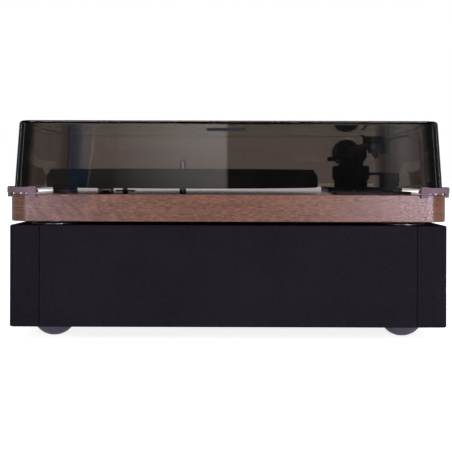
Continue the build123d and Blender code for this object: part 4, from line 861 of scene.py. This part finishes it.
mat_low, mat_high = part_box("platter_mat")
mat_middle = middle_of("platter_mat")
mat_place = Matrix.Translation((mat_middle.x, mat_middle.y, mat_low.z))
mat_rule = mat_growth((mat_high.x - mat_low.x) / 2, mat_high.z - mat_low.z)
mat = grow(mat_rule, "ribbed_record_mat", finishes["mat_rubber"], {}, place=mat_place)
outwards(mat)
soften(mat)
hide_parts("platter_mat")
settle(mat, "platter")

# %% [markdown]
# ## Rings and rows
# Two more trees set out copies. The first puts them on an arc, each facing away from the axis: that gives
# knurls and dial ticks. The second puts them in rows, each turned by its own seeded amount, as a screw's
# cross stops wherever the driver left it.

# %% The two trees


def ring_growth():
    ring = Growth("ring", {"Count": 12, "Radius": 0.01, "Step": 0.5})
    points = ring.add("GeometryNodeMeshLine", inputs={"Count": ring.given("Count")})
    angle = ring.add("GeometryNodeInputIndex") * ring.given("Step")
    at = ring.polar(ring.given("Radius"), angle, 0.0)
    ring.copies(ring.add("GeometryNodeSetPosition", inputs={0: points, "Position": at}), angle)
    return ring


def rows_growth():
    rows = Growth("rows", {"Columns": 2, "Rows": 2, "Width": 0.1, "Depth": 0.1, "Turned": 1.0, "Seed": 4})
    spread = {
        "Size X": rows.given("Width"),
        "Size Y": rows.given("Depth"),
        "Vertices X": rows.given("Columns"),
        "Vertices Y": rows.given("Rows"),
    }
    points = rows.add("GeometryNodeMeshGrid", inputs=spread)
    wanted = {"Seed": rows.given("Seed"), 2: 0.0, 3: math.pi}
    chance = rows.add("FunctionNodeRandomValue", {"data_type": "FLOAT"}, wanted, output=1)
    rows.copies(points, chance * rows.given("Turned"))
    return rows


ring_rule = ring_growth()
rows_rule = rows_growth()
print("trees", ring_rule.tree.name, rows_rule.tree.name)

# %% [markdown]
# ## Screws
# The panels are held by small pan head screws with a cross recess. One head is enough as a template. Its
# top is the flat between a circle and a plus sign, filled with triangles. The plus sign is pushed down
# for the recess, and the rim is rounded in two steps. The rows tree then sets out the screws of each panel.

# %% A screw head and the rows of screws
HEAD_SIDES = 24
HEAD_RIM = ((1.0, 0.0), (1.0, 0.45), (0.93, 0.80), (0.78, 1.0))
CROSS_REACH = 0.55
CROSS_HALF_WIDTH = 0.13
CROSS_DEPTH = 0.6
CROSS_TAPER = 0.85
UPWARDS = (0, 0, 1)
DOWNWARDS = (0, 0, -1)
BACKWARDS = (0, 1, 0)


def ring_of(shape, radius, height, sides):
    turns = [2 * math.pi * number / sides for number in range(sides)]
    return [shape.verts.new((radius * math.cos(t), radius * math.sin(t), height)) for t in turns]


def wall_between(shape, low, high):
    for number in range(len(low)):
        after = (number + 1) % len(low)
        shape.faces.new((low[number], low[after], high[after], high[number]))


def screw_head(radius, height):
    """A pan head with its seat at z 0 and its cross recess on top."""
    shape = bmesh.new()
    rings = [ring_of(shape, radius * wide, height * high, HEAD_SIDES) for wide, high in HEAD_RIM]
    for low, high in zip(rings, rings[1:]):
        wall_between(shape, low, high)
    foot, crown = rings[0], rings[-1]
    shape.faces.new(list(reversed(foot)))
    reach, half = radius * CROSS_REACH, radius * CROSS_HALF_WIDTH
    plus = []
    for turn in range(4):
        for x, y in ((reach, -half), (reach, half), (half, half)):
            plus.append(Matrix.Rotation(turn * math.pi / 2, 2) @ Vector((x, y)))
    mouth = [shape.verts.new((x, y, height)) for x, y in plus]
    bottom = height * (1 - CROSS_DEPTH)
    pit = [shape.verts.new((x * CROSS_TAPER, y * CROSS_TAPER, bottom)) for x, y in plus]
    wall_between(shape, pit, mouth)
    shape.faces.new(pit)
    flat = [e for e in shape.edges if e.is_boundary and all(v in crown or v in mouth for v in e.verts)]
    bmesh.ops.triangle_fill(shape, edges=flat, use_dissolve=False)
    bmesh.ops.recalc_face_normals(shape, faces=shape.faces)
    return as_mesh(shape, "screw_head")


def screw_rows(name, size, place, direction, counts, spread, seed):
    """Screws of one radius and height, in columns and rows spread over a width and a depth."""
    sizes = {"Columns": counts[0], "Rows": counts[1], "Width": spread[0], "Depth": spread[1], "Seed": seed}
    return grow(rows_rule, name, finishes["screw_steel"], sizes, screw_head(*size), aimed(place, direction))


plinth_low, plinth_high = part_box("plinth")
hinge_low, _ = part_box("hinge_bases")
HINGE_HEAD = (3 * MM, 0.9 * MM)
HINGE_SIDE = 157 * MM
HINGE_SPACING = 10 * MM
HINGE_SCREW_DROP = 10 * MM
HINGE_LEAF = 4.8 * MM
BASE_HEAD = (3 * MM, 1.0 * MM)
BASE_SPREAD = (189.2 * MM, 257 * MM)
groups = []
for side in (-1, 1):
    place = (side * HINGE_SIDE, hinge_low.y + HINGE_LEAF, plinth_high.z - HINGE_SCREW_DROP)
    spacing = (HINGE_SPACING, 0.0)
    groups.append(screw_rows("hinge", HINGE_HEAD, place, BACKWARDS, (2, 1), spacing, 3 + side))
base_place = (0, 0, plinth_low.z)
groups.append(screw_rows("base", BASE_HEAD, base_place, DOWNWARDS, (2, 2), BASE_SPREAD, 7))
frame_screws = joined("frame_screws", groups)
soften(frame_screws)
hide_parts("screws")
settle(frame_screws, "deck")

# %% The screws of the panels
_, jack_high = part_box("jack_plate")
PANEL_INSET = 11 * MM
PANEL_HEAD = (2.8 * MM, 1.1 * MM)
JACK_INSET = 4.5 * MM
JACK_HEAD = (2.1 * MM, 0.9 * MM)
ARM_INSET = 5.5 * MM
ARM_HEAD = (2.1 * MM, 0.8 * MM)


def panel_screws(name, node, inset, size, direction, seed, counts=(2, 2), share=1.0):
    """Screws set in from a panel's edges, or over a share of its width. The panel faces up or back."""
    low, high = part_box(node)
    middle = (low + high) / 2
    width = (high.x - low.x - 2 * inset) * share
    if direction == BACKWARDS:
        place = (middle.x, high.y, middle.z)
        depth = high.z - low.z
    else:
        place = (middle.x, middle.y, high.z)
        depth = high.y - low.y
    return screw_rows(name, size, place, direction, counts, (width, depth - 2 * inset), seed)


panels = [
    panel_screws("panel", "back_panel", PANEL_INSET, PANEL_HEAD, BACKWARDS, 11),
    panel_screws("panel", "back_panel", PANEL_INSET, PANEL_HEAD, BACKWARDS, 12, share=0.5),
    panel_screws("jack", "jack_plate", JACK_INSET, JACK_HEAD, BACKWARDS, 13, (3, 2)),
    panel_screws("arm", "arm_plate", ARM_INSET, ARM_HEAD, UPWARDS, 17),
]
panel_heads = joined("panel_screws", panels)
soften(panel_heads)
settle(panel_heads, "deck")

# %% [markdown]
# ## The ribbed isolation feet
# Between the plinth and the cabinet stand four short rubber bellows, which keep the speakers from shaking
# the record. A bellows is a lathe shape too, with a cosine for its radius. The rows tree sets the one foot
# out at the four corners.

# %% Ribbed feet
FOOT_SIZES = {"Radius": 8.25 * MM, "Height": 9 * MM, "Rib": 1.5 * MM, "Ribs": 4, "Segments": 48}
FOOT_STEPS = 8


def bellows_growth():
    foot = Growth("bellows", FOOT_SIZES)
    get = foot.given
    rows = get("Ribs") * FOOT_STEPS + 3

    def profile(row):
        swing = foot.maths("COSINE", (row - 1) * (2 * math.pi / FOOT_STEPS)) * 0.5 - 0.5
        body = (row > 0.5) * (row < rows - 1.5)
        height_at = foot.clamp((row - 1) / (rows - 3)) * get("Height")
        return body * (get("Radius") + swing * get("Rib")), height_at

    foot.lathe(rows, profile)
    return foot


iso_low, iso_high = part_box("isolation_feet")
bellows = grow(bellows_growth(), "bellows", finishes["rubber"], {"Height": iso_high.z - iso_low.z})
foot_width = 2 * FOOT_SIZES["Radius"]
spread = {
    "Width": iso_high.x - iso_low.x - foot_width,
    "Depth": iso_high.y - iso_low.y - foot_width,
    "Turned": 0.0,
}
template = bellows.data
bpy.data.objects.remove(bellows)
iso_place = Matrix.Translation((0, 0, iso_low.z))
iso_feet = grow(rows_rule, "ribbed_feet", finishes["rubber"], spread, template, iso_place)
outwards(iso_feet)
soften(iso_feet, 60)
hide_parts("isolation_feet")
settle(iso_feet, "deck")

# %% [markdown]
# ## Knurls and painted ticks
# The counterweight has a knurled grip, the weight dial and the volume knob have painted scales, and the
# deck has three marks for the speeds. A knurl is a ring of small ridges and a scale is a ring of thin
# flat bars, so one ring tree makes them all. Paint has a thickness too, a few hundredths of a millimetre.

# %% Ridges, bars and their rings
PAINT = 0.05 * MM
paint = moulded("tick_paint", (0.62, 0.62, 0.60), 0.55, 0.05)


def prism(outline, low, high):
    """An upright prism over a flat outline."""
    shape = bmesh.new()
    foot = [shape.verts.new((x, y, low)) for x, y in outline]
    head = [shape.verts.new((x, y, high)) for x, y in outline]
    wall_between(shape, foot, head)
    shape.faces.new(list(reversed(foot)))
    shape.faces.new(head)
    bmesh.ops.recalc_face_normals(shape, faces=shape.faces)
    return as_mesh(shape, "prism")


def oblong(length, width):
    """The outline of a bar, from its middle."""
    half, side = length / 2, width / 2
    return [(-half, -side), (half, -side), (half, side), (-half, side)]


def ring(name, finish, template, place, radius, count, step):
    sizes = {"Count": count, "Radius": radius, "Step": step}
    return grow(ring_rule, name, finish, sizes, template, place)


def painted(name, outline, place, radius=0.0, count=1, step=0.0):
    """A ring of flat painted marks, or one mark in its middle."""
    return ring(name, paint, prism(outline, -PAINT, PAINT), place, radius, count, step)


weight_middle = middle_of("counterweight")
tail = (weight_middle - middle_of("tilt_pins")).normalized()
GRIP_RIDGES = 96
GRIP_RING = (16.8 * MM, GRIP_RIDGES, 2 * math.pi / GRIP_RIDGES)
GRIP_LENGTH = 7 * MM
GRIP_START = 0.8 * MM
RIDGE_FOOT = 0.15 * MM
RIDGE_TIP = 0.28 * MM
RIDGE_SIDE = 0.42 * MM
ridge = [(-RIDGE_FOOT, -RIDGE_SIDE), (RIDGE_TIP, 0.0), (-RIDGE_FOOT, RIDGE_SIDE)]
grip_place = aimed(weight_middle + tail * GRIP_START, tail)
grip_ridge = prism(ridge, 0.0, GRIP_LENGTH)
grip = ring("counterweight_grip", finishes["weight_steel"], grip_ridge, grip_place, *GRIP_RING)
settle(grip, "weight")

DIAL_RADIUS = 14 * MM
DIAL_TICKS = 40
TICK_WIDTH = 0.26 * MM
TICK_START = -1.2 * MM
TICK_LENGTH = 1.2 * MM
dial_place = aimed(middle_of("weight_dial"), tail)
dial_ticks = []
for count, length in ((DIAL_TICKS, TICK_LENGTH), (DIAL_TICKS // 5, 2 * TICK_LENGTH)):
    tick = prism(oblong(2 * PAINT, TICK_WIDTH), TICK_START, TICK_START + length)
    dial_ticks.append(ring("ticks", paint, tick, dial_place, DIAL_RADIUS, count, 2 * math.pi / count))
dial_scale = joined("weight_dial_scale", dial_ticks)
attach(dial_scale, "dial")

# A ring of marks is its radius, the number of marks and the step from one to the next.
VOLUME_RING = (11.6 * MM, 11, math.radians(30))
VOLUME_START = math.radians(120)
VOLUME_TICK = (1.6 * MM, 0.4 * MM)
POINTER = (1.0 * MM, 4.0 * MM)
POINTER_RISE = 5.4 * MM
_, knob_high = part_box("volume_knob")
knob = middle_of("volume_knob")
around_knob = Matrix.Rotation(VOLUME_START, 4, "Z")
volume_place = Matrix.Translation((knob.x, jack_high.y, knob.z)) @ FACES_BACK @ around_knob
volume_scale = painted("volume_scale", oblong(*VOLUME_TICK), volume_place, *VOLUME_RING)
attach(volume_scale, "deck")
pointer_place = Matrix.Translation((knob.x, knob_high.y, knob.z + POINTER_RISE)) @ FACES_BACK
volume_pointer = painted("volume_pointer", oblong(*POINTER), pointer_place)
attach(volume_pointer, "volume")

SPEED_RING = (15.2 * MM, 3, math.radians(40))
SPEED_START = math.radians(50)
SPEED_MARK = (2.4 * MM, 0.6 * MM)
speed = middle_of("speed_knob")
speed_place = Matrix.Translation((speed.x, speed.y, plinth_high.z)) @ Matrix.Rotation(SPEED_START, 4, "Z")
speed_marks = painted("speed_marks", oblong(*SPEED_MARK), speed_place, *SPEED_RING)
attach(speed_marks, "deck")
print("scales and marks made")

# %% [markdown]
# ## The jacks' nuts and colour rings
# Each phono jack is held by a thin hexagon nut, and a coloured ring tells right from left. A washer is
# drawn as rings of points with walls between, with six sides for the nut and many for the ring. The rows
# tree repeats it at the jacks' spacing.

# %% Nuts and rings on the jacks
JACK_FIRST = -60.85 * MM
JACK_SPACING = 14 * MM
JACK_COUNT = 4
JACK_HOLE = 4.2 * MM
NUT_RADIUS = 5.6 * MM
NUT_THICKNESS = 1.5 * MM
NUT_SIDES = 6
RING_RADIUS = 5.0 * MM
RING_THICKNESS = 1.4 * MM
RING_SIDES = 32
WASHER_EDGE = 0.15 * MM
right_red = moulded("jack_red", (0.42, 0.020, 0.022), 0.4, 0.05)
left_white = moulded("jack_white", (0.66, 0.66, 0.64), 0.4, 0.05)


def washer(outer, thickness, sides):
    """A flat ring round a jack, with a small chamfer on its outer front edge."""
    shape = bmesh.new()
    corners = [
        (JACK_HOLE, 0.0),
        (outer, 0.0),
        (outer, thickness - WASHER_EDGE),
        (outer - WASHER_EDGE, thickness),
        (JACK_HOLE, thickness),
    ]
    loops = [ring_of(shape, radius, height, sides) for radius, height in corners]
    for number, loop in enumerate(loops):
        wall_between(shape, loop, loops[(number + 1) % len(loops)])
    bmesh.ops.recalc_face_normals(shape, faces=shape.faces)
    return as_mesh(shape, "washer")


def on_jacks(name, finish, mesh, first, count, spacing, out):
    """Copies of a washer on the jacks, from the first one on, standing out from the plate."""
    width = (count - 1) * spacing
    sizes = {"Columns": count, "Rows": 1, "Width": width, "Depth": 0.0, "Turned": 0.0}
    middle = JACK_FIRST + first * JACK_SPACING + width / 2
    height = middle_of("jack_plate").z
    place = Matrix.Translation((middle, jack_high.y + out, height)) @ FACES_BACK
    piece = grow(rows_rule, name, finish, sizes, mesh, place)
    soften(piece)
    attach(piece, "deck")
    return piece


nut = washer(NUT_RADIUS, NUT_THICKNESS, NUT_SIDES)
nuts = on_jacks("jack_nuts", finishes["screw_steel"], nut, 0, JACK_COUNT, JACK_SPACING, 0.0)
for name, finish, first in (("jack_rings_red", right_red, 0), ("jack_rings_white", left_white, 1)):
    colour_ring = washer(RING_RADIUS, RING_THICKNESS, RING_SIDES)
    on_jacks(name, finish, colour_ring, first, 2, 2 * JACK_SPACING, NUT_THICKNESS)
print("jacks dressed")

# %% [markdown]
# ## The signs on the buttons and the screws of the headshell
# The start button has a small triangle and the stop button a square, as on any player. The cartridge
# hangs on two small screws half an inch apart, through the top of the headshell.

# %% Signs and cartridge screws
SIGN = 2.0 * MM
SQUARE_SIGN = 1.4 * SIGN
HEAD_TURN = math.radians(22.0)
HALF_INCH = 12.7 * MM
SHELL_HEAD = (1.3 * MM, 0.8 * MM)
triangle = [(-SIGN * 0.5, -SIGN * 0.8), (SIGN * 0.9, 0.0), (-SIGN * 0.5, SIGN * 0.8)]
square = oblong(SQUARE_SIGN, SQUARE_SIGN)
for button, body, outline in (("start_button", "start", triangle), ("stop_button", "stop", square)):
    low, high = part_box(button)
    sign = linked(f"{body}_sign", prism(outline, -PAINT, PAINT))
    sign.data.transform(Matrix.Translation(((low.x + high.x) / 2, (low.y + high.y) / 2, high.z)))
    dress(sign, paint)
    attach(sign, body)

cartridge = middle_of("cartridge")
above = Vector((cartridge.x, cartridge.y, 1.0))
_, on_shell, _, _ = nodes["headshell"].ray_cast(above, Vector(DOWNWARDS))
shell_place = Matrix.Translation(on_shell) @ Matrix.Rotation(-HEAD_TURN, 4, "Z")
shell_sizes = {"Columns": 2, "Rows": 1, "Width": HALF_INCH, "Depth": 0.0, "Seed": 5}
shell_head = screw_head(*SHELL_HEAD)
shell_screws = grow(
    rows_rule, "headshell_screws", finishes["screw_steel"], shell_sizes, shell_head, shell_place
)
soften(shell_screws)
settle(shell_screws, "arm")

# %% [markdown]
# ## The bare plate on the cover
# A slim dark plate sits at the top of the cover's front, in the middle. It follows the cover's sloping
# wall, and its edges are softly rounded.

# %% Bare plate
PLATE_WIDTH = 38 * MM
PLATE_HEIGHT = 2.9 * MM
PLATE_THICKNESS = 0.7 * MM
PLATE_CORNER = 1.0 * MM
PLATE_EDGE = 0.2 * MM
PLATE_ABOVE = 62.4 * MM
PLATE_SIDE = -2.2 * MM
PLATE_SUNK = 0.4
COVER_LEAN = math.atan2(4.0, 66.8)
cover_low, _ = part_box("dust_cover")


def rounded_slab(name, width, height, thickness, corner, edge):
    """A flat slab with round corners, in the XZ plane, its front towards -Y."""
    shape = bmesh.new()
    bmesh.ops.create_cube(shape, size=1.0)
    bmesh.ops.scale(shape, vec=(width, thickness, height), verts=shape.verts)
    upright = [e for e in shape.edges if abs(e.verts[0].co.y - e.verts[1].co.y) > thickness / 2]
    bmesh.ops.bevel(shape, geom=upright, offset=corner, segments=5, affect="EDGES", profile=0.5)
    rim = [e for e in shape.edges if all(v.co.y < 0 for v in e.verts)]
    bmesh.ops.bevel(shape, geom=rim, offset=edge, segments=3, affect="EDGES", profile=0.5)
    return linked(name, as_mesh(shape, name))


plate = rounded_slab("cover_plate", PLATE_WIDTH, PLATE_HEIGHT, PLATE_THICKNESS, PLATE_CORNER, PLATE_EDGE)
plate_z = plinth_high.z + PLATE_ABOVE
plate_y = cover_low.y + (plate_z - cover_low.z) * math.tan(COVER_LEAN) - PLATE_THICKNESS * PLATE_SUNK
plate_place = Matrix.Translation((PLATE_SIDE, plate_y, plate_z))
plate.data.transform(plate_place @ Matrix.Rotation(-COVER_LEAN, 4, "X"))
dress(plate, finishes["arm_black"])
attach(plate, "lid")
print("plate at", round(plate_y, 4), round(plate_z, 4))

# %% [markdown]
# ## Plain colours on the screen
# The view transform is Standard, so that a colour shows about as it is written.

# %% The view transform and the end
bpy.context.scene.view_settings.view_transform = "Standard"
